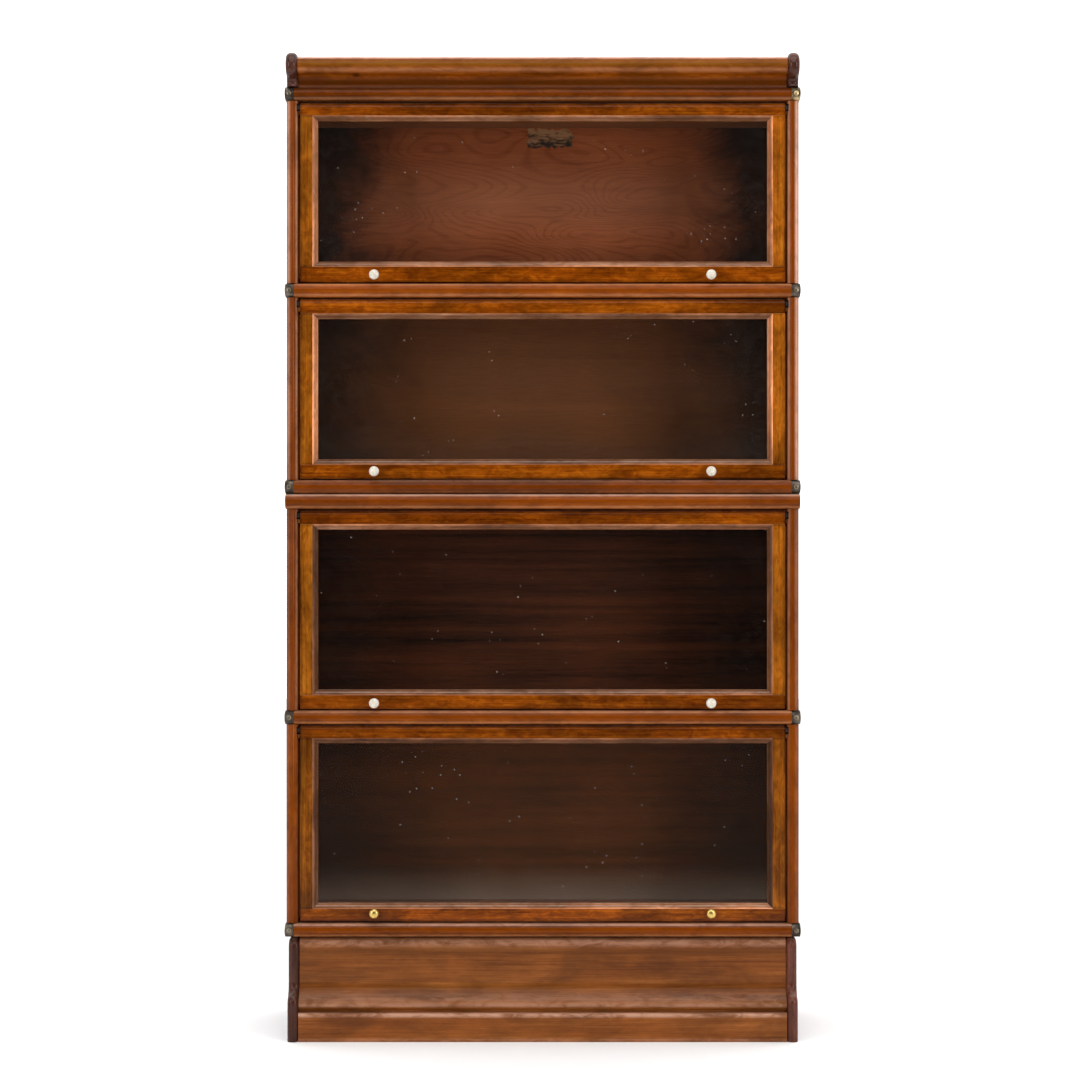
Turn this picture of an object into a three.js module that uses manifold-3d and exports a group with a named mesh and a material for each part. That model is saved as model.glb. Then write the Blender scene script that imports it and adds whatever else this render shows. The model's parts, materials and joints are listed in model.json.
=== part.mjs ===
// A stacking bookcase: four glazed sections under a cornice, on a moulded base.
// Millimetres. X runs across the front, Y to the back and Z up. The origin is on the floor, in the middle.
import * as THREE from "three";
import { mergeVertices } from "three/addons/utils/BufferGeometryUtils.js";
import Module from "manifold-3d";

const wasm = await Module();
wasm.setup();

// Sizes of the case
const caseWidth = 860; // over the outer faces of the side panels
const boardDepth = 292; // from the back to the nose of a bottom board
const boardThickness = 23;
const sideThickness = 20;
const sideSetback = 5; // front edge of a side panel behind the nose of its board
const shortSideHeight = 306.5; // the two upper sections
const tallSideHeight = 338; // the third section
const lowestSideHeight = 333.5; // the fourth section
const backPanelThickness = 7;
const backRebateWidth = 10;
const ledgeBoardThickness = 25.5; // the board that tops the third section
const ledgeBoardOverhang = 1; // past the side panels, at each end
const ledgeBoardReach = 4; // its nose in front of the noses of the bottom boards
const seatGap = 0.3; // between two pieces that touch
const overrun = 2; // what a cutter runs past the face that it cuts

// Sizes of the metal bands on the ends of the bottom boards
const bandThickness = 1.8; // at half height
const bandEdgeThickness = 0.9; // at its upper and lower edge
const capLength = 12.5; // how far the band's front end covers the nose
const capDepth = 16;
const capProud = 0.4;

// Sizes of the doors
const doorThickness = 19;
const doorSetback = 6; // face of the door behind the front edge of the side panels
const doorSideGap = 3;
const doorTopGap = 1;
const doorBottomGap = 2.5;
const frameWidth = 34; // of the rails and stiles, moulding included
const mouldingWidth = 11.5;
const mouldingDrop = 5.5; // from the face of the frame to the lip beside the glass
const quirkDepth = 0.8; // the small step where the moulding starts
const lipWidth = 1.8;
const lipThickness = 3.3; // wood in front of the glass
const glassThickness = 3;
const glassRebateWidth = 7;
const beadChamfer = 2.5;
const tongueReach = 2.4; // strip on the edge of a stile, inside the side gap
const tongueThickness = 10;
const tonguePlay = 1.2; // its upper end clears the rail by this as the door turns
const tongueFoot = 6; // its lower end above the foot of the door

// Sizes of the runners that the doors hang on
const grooveDepth = 8;
const grooveHeight = 13;
const grooveLead = 12; // the groove starts this far in front of the pivot
const railReach = 2.4; // small rail under the groove, inside the side gap
const railHeight = 6;
const shoeLead = 9;
const shoeTail = 18;
const shoePlay = 0.5; // above, below and beside a shoe
const earThickness = 1.4;
const earHeight = 14;
const earPlay = 0.8; // between an ear and the side panel
const barThickness = 3;
const barGap = 3; // between the bar and the back of the door
const pinRadius = 2.5;
const pinReach = 16;
const pinPlay = 0.4;
const boreSpare = 1; // how much deeper the bore is than the pin

// Sizes of the knobs
const knobDiameter = 17;
const knobReach = 20;
const knobInset = 148; // its middle inside the face of the side panel
const knobRises = [11.5, 12, 10.5, 15]; // height above the foot of each door

// Sizes of the cornice
const crownHeight = 48;
const crownSetback = 8; // foot of the moulding behind the nose of the board
const crownProjection = 24;
const crownNoseRadius = 14;
const crownCoveRadius = 16;
const crownBackThickness = 20;
const topPanelThickness = 15;
const corniceInset = 1; // its end pieces inside the faces of the side panels
const corniceEndThickness = 19.5;
const corniceEndProud = 7; // how far an end piece stands out round the moulding

// Sizes of the base
const baseHeight = 171.5;
const baseInset = 4; // its end pieces inside the faces of the side panels
const baseSetback = 8;
const baseProjection = 21;
const baseNoseRadius = 12;
const baseCoveRadius = 28;
const baseNoseLift = 1; // least height of the nose above the seam
const baseTopRadius = 12;
const baseFrontThickness = 20;
const plinthHeight = 48.5;
const plinthThickness = 18;
const plinthProud = 3; // face of the plinth in front of the moulding
const plinthEdgeRadius = 3;
const baseEndThickness = 18;
const baseEndProud = 6;
const endEdgeRadius = 8; // rounding of the cornice's and the base's end pieces
const baseRailHeight = 120;
const baseRailThickness = 20;

// Smoothness of the curves, in steps
const noseSteps = 10;
const ogeeSteps = 7;
const mouldingSteps = 4;
const edgeSteps = 3;
const roundSteps = 16;

// Places that follow from the sizes
const halfCase = caseWidth / 2;
const halfInside = halfCase - sideThickness;
const halfDoor = halfInside - doorSideGap;
const halfThickness = doorThickness / 2;
const sideFront = -(boardDepth - sideSetback);
const pivotY = sideFront + doorSetback + halfThickness;
const grooveHalf = grooveHeight / 2;
const tongueStart = Math.hypot(grooveLead, grooveHalf + railHeight) + tonguePlay;

// Colours and surfaces
const wood = (color, roughness) => new THREE.MeshStandardMaterial({ color, roughness, metalness: 0 });
const mahogany = wood(0x8a4d1c, 0.36);
const brownMahogany = wood(0x7c4a28, 0.42);
const darkMahogany = wood(0x4a2a20, 0.34);
const panelWood = wood(0x5c3320, 0.55);
const porcelain = new THREE.MeshStandardMaterial({ color: 0xf1ecdc, roughness: 0.2, metalness: 0 });
const brass = new THREE.MeshStandardMaterial({ color: 0xc9a44a, roughness: 0.25, metalness: 1 });
const bronzedSteel = new THREE.MeshStandardMaterial({ color: 0x3d352c, roughness: 0.45, metalness: 1 });
const steel = new THREE.MeshStandardMaterial({ color: 0x77736d, roughness: 0.4, metalness: 1 });
const glass = new THREE.MeshStandardMaterial({
  color: 0xdfe6e2,
  roughness: 0.05,
  metalness: 0,
  transparent: true,
  opacity: 0.25,
});

// Solids and the cuts and joins between them

function solidOf(geometry) {
  const bare = geometry.clone();
  bare.deleteAttribute("normal");
  bare.deleteAttribute("uv");
  const merged = mergeVertices(bare);
  return new wasm.Manifold(
    new wasm.Mesh({
      numProp: 3,
      vertProperties: new Float32Array(merged.attributes.position.array),
      triVerts: new Uint32Array(merged.index.array),
    }),
  );
}

function geometryOf(solid) {
  const { vertProperties, triVerts } = solid.getMesh();
  const shared = new THREE.BufferGeometry();
  shared.setAttribute("position", new THREE.BufferAttribute(new Float32Array(vertProperties), 3));
  shared.setIndex(new THREE.BufferAttribute(new Uint32Array(triVerts), 1));
  const geometry = shared.toNonIndexed();
  geometry.computeVertexNormals();
  return geometry;
}

function block([x0, x1], [y0, y1], [z0, z1]) {
  const geometry = new THREE.BoxGeometry(x1 - x0, y1 - y0, z1 - z0);
  geometry.translate((x0 + x1) / 2, (y0 + y1) / 2, (z0 + z1) / 2);
  return solidOf(geometry);
}

function extrude(outline, length, bevel = {}) {
  const settings = { depth: length, bevelEnabled: false, ...bevel };
  return new THREE.ExtrudeGeometry(new THREE.Shape(outline), settings);
}

// An outline in Y and Z, drawn out along X
function alongX(outline, [x0, x1], bevel) {
  const geometry = extrude(outline, x1 - x0, bevel);
  const toX = new THREE.Matrix4().makeBasis(
    new THREE.Vector3(0, 1, 0),
    new THREE.Vector3(0, 0, 1),
    new THREE.Vector3(1, 0, 0),
  );
  geometry.applyMatrix4(toX);
  geometry.translate(x0, 0, 0);
  return solidOf(geometry);
}

// An outline in Z and X, drawn out along Y
function alongY(outline, [y0, y1]) {
  const geometry = extrude(outline, y1 - y0);
  const toY = new THREE.Matrix4().makeBasis(
    new THREE.Vector3(0, 0, 1),
    new THREE.Vector3(1, 0, 0),
    new THREE.Vector3(0, 1, 0),
  );
  geometry.applyMatrix4(toY);
  geometry.translate(0, y0, 0);
  return solidOf(geometry);
}

// An outline in X and Y, drawn out along Z
function alongZ(outline, [z0, z1]) {
  const geometry = extrude(outline, z1 - z0);
  geometry.translate(0, 0, z0);
  return solidOf(geometry);
}

function rod([x0, x1], radius) {
  const geometry = new THREE.CylinderGeometry(radius, radius, x1 - x0, roundSteps);
  geometry.rotateZ(Math.PI / 2);
  geometry.translate((x0 + x1) / 2, 0, 0);
  return solidOf(geometry);
}

function arc(centreX, centreY, radius, from, to, steps) {
  return Array.from({ length: steps + 1 }, (_, i) => {
    const angle = from + ((to - from) * i) / steps;
    return new THREE.Vector2(centreX + radius * Math.cos(angle), centreY + radius * Math.sin(angle));
  });
}

const point = (x, y) => new THREE.Vector2(x, y);

function mirrored(solid) {
  return solid.mirror([1, 0, 0]);
}

function piece(name, solid, material) {
  const mesh = new THREE.Mesh(geometryOf(solid), material);
  mesh.name = name;
  return mesh;
}

// Both hands of a piece that is drawn for the right
function pair(name, solid, material) {
  return [piece(name + "_left", mirrored(solid), material), piece(name + "_right", solid, material)];
}

// Bottom boards, which carry the side panels and show as the rounded rails between the doors

function roundNosed(depth, thickness) {
  const radius = thickness / 2;
  return [
    point(0, 0),
    point(0, thickness),
    ...arc(-(depth - radius), radius, radius, Math.PI / 2, (3 * Math.PI) / 2, noseSteps),
  ];
}

function bottomBoard() {
  const board = alongX(roundNosed(boardDepth, boardThickness), [-halfCase, halfCase]);
  const capSeat = block(
    [halfCase - capLength - seatGap, halfCase + overrun],
    [-boardDepth - overrun, -boardDepth + capDepth + seatGap],
    [-overrun, boardThickness + overrun],
  );
  return board.subtract(capSeat).subtract(mirrored(capSeat));
}

// A band is a domed strip on the end of the board, with a cap round the front corner
function metalBand() {
  const inner = halfCase - capLength;
  const edge = halfCase + seatGap + bandEdgeThickness;
  const rise = bandThickness - bandEdgeThickness;
  const dome = Array.from({ length: ogeeSteps + 1 }, (_, i) => {
    const share = i / ogeeSteps;
    return point(boardThickness * share, edge + rise * Math.sin(Math.PI * share));
  });
  const crossSection = [point(boardThickness, inner), point(0, inner), ...dome];
  const strip = alongY(crossSection, [-boardDepth - overrun, 0]);
  const nose = alongX(roundNosed(boardDepth + capProud, boardThickness), [inner, edge + rise + overrun]);
  const boardEnd = block(
    [inner - overrun, halfCase + seatGap],
    [-boardDepth + capDepth, overrun],
    [-overrun, boardThickness + overrun],
  );
  return strip.intersect(nose).subtract(boardEnd);
}

// Side panels, rounded at the front, grooved near the top for a door's runner and rebated for the back

function sidePanel(sideHeight) {
  const radius = sideThickness / 2;
  const height = sideHeight - 2 * seatGap;
  const rebateDepth = backPanelThickness + 2 * seatGap;
  const plan = [
    point(halfCase, 0),
    ...arc(halfCase - radius, sideFront + radius, radius, 0, -Math.PI, noseSteps),
    point(halfInside, -rebateDepth),
    point(halfInside + backRebateWidth, -rebateDepth),
    point(halfInside + backRebateWidth, 0),
  ];
  const pivotZ = pivotHeight(sideHeight);
  const groove = block(
    [halfInside - overrun, halfInside + grooveDepth],
    [pivotY - grooveLead, overrun],
    [pivotZ - grooveHalf, pivotZ + grooveHalf],
  );
  const rail = block(
    [halfInside - railReach, halfInside + seatGap],
    [pivotY - grooveLead, -rebateDepth],
    [pivotZ - grooveHalf - railHeight, pivotZ - grooveHalf],
  );
  return alongZ(plan, [0, height]).add(rail).subtract(groove);
}

// Height of a door's pivot above the foot of the side panels
function pivotHeight(sideHeight) {
  return sideHeight - 2 * seatGap - doorTopGap - halfThickness;
}

function backPanel(sideHeight) {
  const halfWidth = halfInside + backRebateWidth - seatGap;
  const height = sideHeight - 2 * seatGap;
  return block([-halfWidth, halfWidth], [-backPanelThickness - seatGap, -seatGap], [0, height]);
}

// A steel bar behind the door's top rail, bent into an ear at each end. Each ear holds the pin that the door
// turns on, and a shoe that runs in the groove of the side panel
function doorCarriage() {
  const earOuter = halfInside - earPlay;
  const earInner = earOuter - earThickness;
  const shoeHalf = grooveHalf - shoePlay;
  const barFront = halfThickness + barGap;
  const barBack = barFront + barThickness;
  const lower = -shoeHalf;
  const upper = lower + earHeight;
  const bar = block([-earOuter, earOuter], [barFront, barBack], [lower, upper]);
  const radius = earHeight / 2;
  const earOutline = [
    point(barBack, lower),
    point(barBack, upper),
    ...arc(0, lower + radius, radius, Math.PI / 2, (3 * Math.PI) / 2, noseSteps),
  ];
  const ear = alongX(earOutline, [earInner, earOuter]);
  const shoeOutline = [
    ...arc(shoeTail - shoeHalf, 0, shoeHalf, -Math.PI / 2, Math.PI / 2, ogeeSteps),
    ...arc(shoeHalf - shoeLead, 0, shoeHalf, Math.PI / 2, (3 * Math.PI) / 2, ogeeSteps),
  ];
  const shoe = alongX(shoeOutline, [earOuter - earThickness / 2, halfInside + grooveDepth - shoePlay]);
  const pin = rod([halfDoor - pinReach, earInner + earThickness / 2], pinRadius);
  const end = ear.add(shoe).add(pin);
  return bar.add(end).add(mirrored(end));
}

// Doors. A door's own origin is the middle of its pivot axis

// A closed section carried round a rectangle with mitred corners. Its points are [distance outside the opening, Y]
function mitredFrame(section, halfWidth, low, high) {
  const corners = [
    [1, -1],
    [1, 1],
    [-1, 1],
    [-1, -1],
  ];
  const vertices = [];
  for (const [sideX, sideZ] of corners) {
    for (const { x: out, y } of section) {
      const z = sideZ > 0 ? high + out : low - out;
      vertices.push(sideX * (halfWidth + out), y, z);
    }
  }
  const count = section.length;
  const index = [];
  for (let corner = 0; corner < corners.length; corner++) {
    const here = corner * count;
    const there = ((corner + 1) % corners.length) * count;
    for (let i = 0; i < count; i++) {
      const j = (i + 1) % count;
      index.push(here + i, there + j, there + i, here + i, here + j, there + j);
    }
  }
  const geometry = new THREE.BufferGeometry();
  geometry.setAttribute("position", new THREE.Float32BufferAttribute(vertices, 3));
  geometry.setIndex(index);
  return solidOf(geometry);
}

function doorSizes(sideHeight) {
  const foot = -(pivotHeight(sideHeight) + seatGap - doorBottomGap);
  return {
    foot,
    openLow: foot + frameWidth,
    openHigh: halfThickness - frameWidth,
    halfOpen: halfDoor - frameWidth,
  };
}

// Rails and stiles with their inner moulding: a step, a round shoulder, a hollow and a narrow lip
function frameSection() {
  const face = -halfThickness;
  const lip = face + mouldingDrop;
  const glassSeat = lip + lipThickness;
  const start = face + quirkDepth;
  const turnShare = 0.5; // how far across the moulding the shoulder meets the hollow
  const turn = point(
    lipWidth + (mouldingWidth - lipWidth) * turnShare,
    start + (lip - start) * turnShare,
  );
  const hollow = new THREE.QuadraticBezierCurve(
    point(lipWidth, lip),
    point(turn.x, lip),
    turn,
  );
  const shoulder = new THREE.QuadraticBezierCurve(turn, point(turn.x, start), point(mouldingWidth, start));
  return [
    point(0, glassSeat),
    point(0, lip),
    ...hollow.getPoints(mouldingSteps),
    ...shoulder.getPoints(mouldingSteps).slice(1),
    point(mouldingWidth, face),
    point(frameWidth, face),
    point(frameWidth, halfThickness),
    point(glassRebateWidth, halfThickness),
    point(glassRebateWidth, glassSeat),
  ];
}

function doorFrame(sideHeight) {
  const { foot, openLow, openHigh, halfOpen } = doorSizes(sideHeight);
  const ring = mitredFrame(frameSection(), halfOpen, openLow, openHigh);
  const roundTopped = [
    point(-halfThickness, foot - overrun),
    point(halfThickness, foot - overrun),
    ...arc(0, 0, halfThickness, 0, Math.PI, noseSteps),
  ];
  const envelope = alongX(roundTopped, [-halfDoor - overrun, halfDoor + overrun]);
  const tongue = block(
    [halfDoor - tongueReach, halfDoor + tongueReach],
    [-tongueThickness / 2, tongueThickness / 2],
    [foot + tongueFoot, -tongueStart],
  );
  const bore = rod([halfDoor - pinReach - boreSpare, halfDoor + overrun], pinRadius + pinPlay);
  return ring
    .intersect(envelope)
    .add(tongue)
    .add(mirrored(tongue))
    .subtract(bore)
    .subtract(mirrored(bore));
}

const glassFront = -halfThickness + mouldingDrop + lipThickness + seatGap;
const glassBack = glassFront + glassThickness;

function doorGlass(sideHeight) {
  const { openLow, openHigh, halfOpen } = doorSizes(sideHeight);
  const lap = glassRebateWidth - seatGap;
  return block([-halfOpen - lap, halfOpen + lap], [glassFront, glassBack], [openLow - lap, openHigh + lap]);
}

function glazingBead(sideHeight) {
  const { openLow, openHigh, halfOpen } = doorSizes(sideHeight);
  const outer = glassRebateWidth - seatGap;
  const section = [
    point(0, halfThickness - beadChamfer),
    point(0, glassBack + seatGap),
    point(outer, glassBack + seatGap),
    point(outer, halfThickness),
    point(beadChamfer, halfThickness),
  ];
  return mitredFrame(section, halfOpen, openLow, openHigh);
}

// Radius and reach of a knob, as shares of its own radius and reach
const knobProfileShares = [
  [0, 0],
  [0.56, 0],
  [0.56, 0.07],
  [0.4, 0.17],
  [0.38, 0.36],
  [0.58, 0.47],
  [0.88, 0.58],
  [1, 0.72],
  [0.93, 0.87],
  [0.62, 0.97],
  [0, 1],
];

function knob() {
  const radius = knobDiameter / 2;
  const profile = knobProfileShares.map(([r, reach]) => point(r * radius, -reach * knobReach));
  return solidOf(new THREE.LatheGeometry(profile.reverse(), roundSteps));
}

function door(name, sideHeight, knobRise, knobMaterial) {
  const group = new THREE.Group();
  const { foot } = doorSizes(sideHeight);
  group.add(piece(name + "_door_frame", doorFrame(sideHeight), mahogany));
  group.add(piece(name + "_door_glass", doorGlass(sideHeight), glass));
  group.add(piece(name + "_glazing_bead", glazingBead(sideHeight), mahogany));
  for (const [hand, side] of [["left", -1], ["right", 1]]) {
    const mesh = piece(name + "_knob_" + hand, knob(), knobMaterial);
    mesh.position.set(side * (halfCase - knobInset), -halfThickness - seatGap, foot + knobRise);
    group.add(mesh);
  }
  return group;
}

// One section: a board, two sides and a back, with a door that lifts on its carriage and slides in over the books
function section(name, sideHeight, knobRise, knobMaterial) {
  const group = new THREE.Group();
  const pivot = new THREE.Group();
  const onBoard = boardThickness + seatGap;
  group.add(piece(name + "_bottom_board", bottomBoard(), mahogany));
  group.add(...pair(name + "_band", metalBand(), bronzedSteel));
  const walls = [...pair(name + "_side", sidePanel(sideHeight), mahogany)];
  walls.push(piece(name + "_back_panel", backPanel(sideHeight), panelWood));
  walls.forEach((wall) => wall.position.setZ(onBoard));
  group.add(...walls);
  pivot.position.set(0, pivotY, onBoard + pivotHeight(sideHeight));
  pivot.add(piece(name + "_door_carriage", doorCarriage(), steel));
  pivot.add(door(name, sideHeight, knobRise, knobMaterial));
  group.add(pivot);
  return group;
}

// The board that tops the third section
function ledgeBoard() {
  const outline = roundNosed(boardDepth + ledgeBoardReach, ledgeBoardThickness - seatGap);
  const end = halfCase + ledgeBoardOverhang;
  return alongX(outline, [-end, end]);
}

// The double curve of the cornice and the base: a round nose that turns into a hollow.
// Its points are [reach in front of the foot line, distance from the nose's end], from the nose to the foot line.
// proud gives the parallel curve that far outside it
function ogee({ projection, noseRadius, coveRadius, noseCentre, from }, proud = 0) {
  const noseReach = projection - noseRadius;
  const apart = noseRadius + coveRadius;
  const across = coveRadius - noseReach;
  const along = Math.sqrt(apart ** 2 - across ** 2);
  const turn = Math.atan2(along, across);
  const nose = arc(noseReach, noseCentre, noseRadius + proud, from, turn, ogeeSteps);
  const cove = arc(coveRadius, noseCentre + along, coveRadius - proud, turn - Math.PI, -Math.PI, ogeeSteps);
  return [...nose, ...cove.slice(1)];
}

// Cornice: a board like the others, a moulded top and two end pieces

const crownCurve = {
  projection: crownProjection,
  noseRadius: crownNoseRadius,
  coveRadius: crownCoveRadius,
  noseCentre: crownNoseRadius,
  from: -Math.PI / 2,
};
const crownFoot = -(boardDepth - crownSetback);
const halfCornice = halfCase - corniceInset;

const crownPoints = (proud) =>
  ogee(crownCurve, proud).map(({ x, y }) => point(crownFoot - x, crownHeight - y));

function corniceTop() {
  const halfWidth = halfCornice - corniceEndThickness - seatGap;
  const behind = crownFoot + crownBackThickness;
  const outline = [
    point(0, crownHeight - topPanelThickness),
    point(0, crownHeight),
    ...crownPoints(0),
    point(crownFoot, 0),
    point(behind, 0),
    point(behind, crownHeight - topPanelThickness),
  ];
  return alongX(outline, [-halfWidth, halfWidth]);
}

// An end piece with round edges, trimmed flat at the back and underneath, where it meets its neighbours
function roundedEnd(frontPoints, top, halfWidth, thickness) {
  const past = endEdgeRadius + overrun;
  const last = frontPoints[frontPoints.length - 1];
  const outline = [point(past, -past), point(past, top), ...frontPoints, point(last.x, -past)];
  const bevel = {
    bevelEnabled: true,
    bevelThickness: endEdgeRadius,
    bevelSize: endEdgeRadius,
    bevelOffset: -endEdgeRadius,
    bevelSegments: edgeSteps,
  };
  const reach = [halfWidth - thickness + endEdgeRadius, halfWidth - endEdgeRadius];
  const rounded = alongX(outline, reach, bevel);
  const trim = block(
    [halfWidth - thickness - overrun, halfWidth + overrun],
    [-boardDepth - past - crownProjection - baseProjection, 0],
    [0, top + overrun],
  );
  return rounded.intersect(trim);
}

function cornice() {
  const group = new THREE.Group();
  group.add(piece("cornice_board", bottomBoard(), mahogany));
  group.add(...pair("cornice_band", metalBand(), bronzedSteel));
  const end = roundedEnd(
    crownPoints(corniceEndProud),
    crownHeight + corniceEndProud,
    halfCornice,
    corniceEndThickness,
  );
  const upper = [piece("cornice_top", corniceTop(), mahogany), ...pair("cornice_end", end, darkMahogany)];
  upper.forEach((mesh) => mesh.position.setZ(boardThickness + seatGap));
  group.add(...upper);
  return group;
}

// Base: a moulded front over a plinth strip, between two end pieces, with a rail at the back

const baseCurve = {
  projection: baseProjection,
  noseRadius: baseNoseRadius,
  coveRadius: baseCoveRadius,
  noseCentre: baseNoseRadius + baseNoseLift,
};
const baseFoot = -(boardDepth - baseSetback);
const baseTop = baseHeight - seatGap;
const halfBase = halfCase - baseInset;
const halfBetween = halfBase - baseEndThickness - seatGap;
const plinthFace = baseFoot - baseProjection - plinthProud;

// From the nose up to the round upper edge
function basePoints(from, proud) {
  const radius = baseTopRadius + proud;
  const curve = ogee({ ...baseCurve, from }, proud).map(({ x, y }) => point(baseFoot - x, plinthHeight + y));
  const topEdge = arc(baseFoot + baseTopRadius, baseTop - radius, radius, Math.PI, Math.PI / 2, ogeeSteps);
  return [...curve, ...topEdge.slice(1)];
}

function baseFront() {
  const front = basePoints(-Math.PI / 3, 0);
  const back = baseFoot + baseFrontThickness;
  const outline = [point(back, plinthHeight), point(front[0].x, plinthHeight), ...front, point(back, baseTop)];
  return alongX(outline, [-halfBetween, halfBetween]);
}

function plinthStrip() {
  const back = plinthFace + plinthThickness;
  const top = plinthHeight - seatGap;
  const outline = [
    point(back, 0),
    point(back, top),
    ...arc(
      plinthFace + plinthEdgeRadius,
      top - plinthEdgeRadius,
      plinthEdgeRadius,
      Math.PI / 2,
      Math.PI,
      edgeSteps,
    ),
    point(plinthFace, 0),
  ];
  return alongX(outline, [-halfBetween, halfBetween]);
}

// The end piece follows the moulded front, a little proud of it, and drops straight down beside the plinth
function baseEnd() {
  const front = basePoints(0, baseEndProud).reverse();
  return roundedEnd(front, baseTop, halfBase, baseEndThickness);
}

function base() {
  const group = new THREE.Group();
  const rail = block([-halfBetween, halfBetween], [-baseRailThickness, 0], [baseTop - baseRailHeight, baseTop]);
  group.add(piece("base_front", baseFront(), brownMahogany));
  group.add(piece("base_plinth_strip", plinthStrip(), brownMahogany));
  group.add(piece("base_back_rail", rail, brownMahogany));
  group.add(...pair("base_end", baseEnd(), darkMahogany));
  return group;
}

// The whole bookcase, from the floor up
const bookcase = new THREE.Group();
const stack = [
  ["section_4", lowestSideHeight, brass],
  ["section_3", tallSideHeight, porcelain],
  ["section_2", shortSideHeight, porcelain],
  ["section_1", shortSideHeight, porcelain],
];
bookcase.add(base());
let level = baseHeight;
stack.forEach(([name, sideHeight, knobMaterial], i) => {
  const made = section(name, sideHeight, knobRises[stack.length - 1 - i], knobMaterial);
  made.position.setZ(level);
  bookcase.add(made);
  level += boardThickness + sideHeight;
  if (sideHeight === tallSideHeight) {
    const board = piece("ledge_board", ledgeBoard(), mahogany);
    board.position.setZ(level);
    bookcase.add(board);
    level += ledgeBoardThickness;
  }
});
const top = cornice();
top.position.setZ(level);
bookcase.add(top);
const middle = new THREE.Box3().setFromObject(bookcase).getCenter(new THREE.Vector3());
bookcase.children.forEach((child) => child.position.setY(-middle.y));

export default bookcase;
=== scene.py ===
import json
import math

import bmesh
import bpy
from mathutils import Matrix, Vector, noise


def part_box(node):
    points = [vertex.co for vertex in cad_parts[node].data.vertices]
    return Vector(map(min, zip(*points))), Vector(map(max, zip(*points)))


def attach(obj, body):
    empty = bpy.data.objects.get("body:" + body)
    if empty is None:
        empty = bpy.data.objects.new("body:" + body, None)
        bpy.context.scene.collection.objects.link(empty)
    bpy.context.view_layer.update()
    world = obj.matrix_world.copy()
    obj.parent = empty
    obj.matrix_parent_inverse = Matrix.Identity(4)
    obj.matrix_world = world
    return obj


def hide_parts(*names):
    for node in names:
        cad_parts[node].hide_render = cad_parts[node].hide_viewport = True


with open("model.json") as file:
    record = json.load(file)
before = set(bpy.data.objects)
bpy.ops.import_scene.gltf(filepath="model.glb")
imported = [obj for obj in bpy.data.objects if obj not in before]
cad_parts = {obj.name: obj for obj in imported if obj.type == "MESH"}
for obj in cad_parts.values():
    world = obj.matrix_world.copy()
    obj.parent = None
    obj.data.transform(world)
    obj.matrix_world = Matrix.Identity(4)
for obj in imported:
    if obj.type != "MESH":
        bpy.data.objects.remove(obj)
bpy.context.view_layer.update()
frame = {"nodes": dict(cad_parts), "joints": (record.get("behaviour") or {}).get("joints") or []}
print("frame loaded")

mm = 0.001
across, back, up = Vector((1, 0, 0)), Vector((0, 1, 0)), Vector((0, 0, 1))
sections = ["section_1", "section_2", "section_3", "section_4"]
hands = {"left": -1, "right": 1}
overrun = 5 * mm  # how far a cutting block reaches past what it cuts
roundGap = 0.02 * mm  # what a full round leaves flat


# Selecting, placing and shaping


def deselectAll():
    bpy.ops.object.select_all(action="DESELECT")


def workOn(piece):
    deselectAll()
    piece.select_set(True)
    bpy.context.view_layer.objects.active = piece


def openMesh(piece, kind, action):  # into edit mode, with all or nothing selected
    workOn(piece)
    bpy.ops.object.mode_set(mode="EDIT")
    bpy.ops.mesh.select_mode(type=kind)
    bpy.ops.mesh.select_all(action=action)


def closeMesh():
    bpy.ops.object.mode_set(mode="OBJECT")


def closeFacingOut():
    bpy.ops.mesh.select_all(action="SELECT")
    bpy.ops.mesh.normals_make_consistent(inside=False)
    closeMesh()


def pick(piece, kind, test):  # into edit mode, with the edges or faces that pass the test selected
    openMesh(piece, kind, "DESELECT")
    mesh = bmesh.from_edit_mesh(piece.data)
    for part in mesh.edges if kind == "EDGE" else mesh.faces:
        part.select_set(bool(test(part)))
    bmesh.update_edit_mesh(piece.data)


def modify(piece, kind, **settings):
    workOn(piece)
    modifier = piece.modifiers.new("step", kind)
    for key, value in settings.items():
        setattr(modifier, key, value)
    bpy.ops.object.modifier_apply(modifier="step")


def settle(piece, name):  # the place goes into the mesh, and the object stays at the origin
    workOn(piece)
    piece.name = piece.data.name = name
    bpy.ops.object.transform_apply(location=True, rotation=True, scale=True)
    return piece


def addBlock(name, corner, opposite):
    corner, opposite = Vector(corner), Vector(opposite)
    deselectAll()
    bpy.ops.mesh.primitive_cube_add(size=1, location=(corner + opposite) / 2)
    block = bpy.context.object
    block.scale = [abs(length) for length in opposite - corner]
    return settle(block, name)


def roundEdges(piece, test, radius, segments):  # the test is given each edge's middle and run
    def passes(edge):
        start, end = (vert.co for vert in edge.verts)
        return test((start + end) / 2, end - start)

    pick(piece, "EDGE", passes)
    bpy.ops.mesh.bevel(offset=radius, segments=segments, profile=0.5, affect="EDGES", clamp_overlap=False)
    closeMesh()


def longEdges(along, *planes):  # a test: long, along an axis and in the planes, each an axis and a level
    def test(middle, run):
        return abs(run[along]) > 10 * mm and all(near(middle[axis], level) for axis, level in planes)

    return test


def carve(piece, tool, operation="DIFFERENCE"):
    modify(piece, "BOOLEAN", operation=operation, object=tool, solver="EXACT")
    bpy.data.objects.remove(tool)
    return piece


def sliceOff(piece, point, normal):  # takes away what lies on the normal's side and closes the cut
    openMesh(piece, "VERT", "SELECT")
    bpy.ops.mesh.bisect(plane_co=point, plane_no=normal, use_fill=True, clear_outer=True)
    closeMesh()


def startPoint():  # a single point at the origin, in edit mode, to extrude from
    deselectAll()
    bpy.ops.mesh.primitive_plane_add(size=mm)
    openMesh(bpy.context.object, "VERT", "SELECT")
    bpy.ops.mesh.merge(type="CENTER")
    return bpy.context.object


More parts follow.
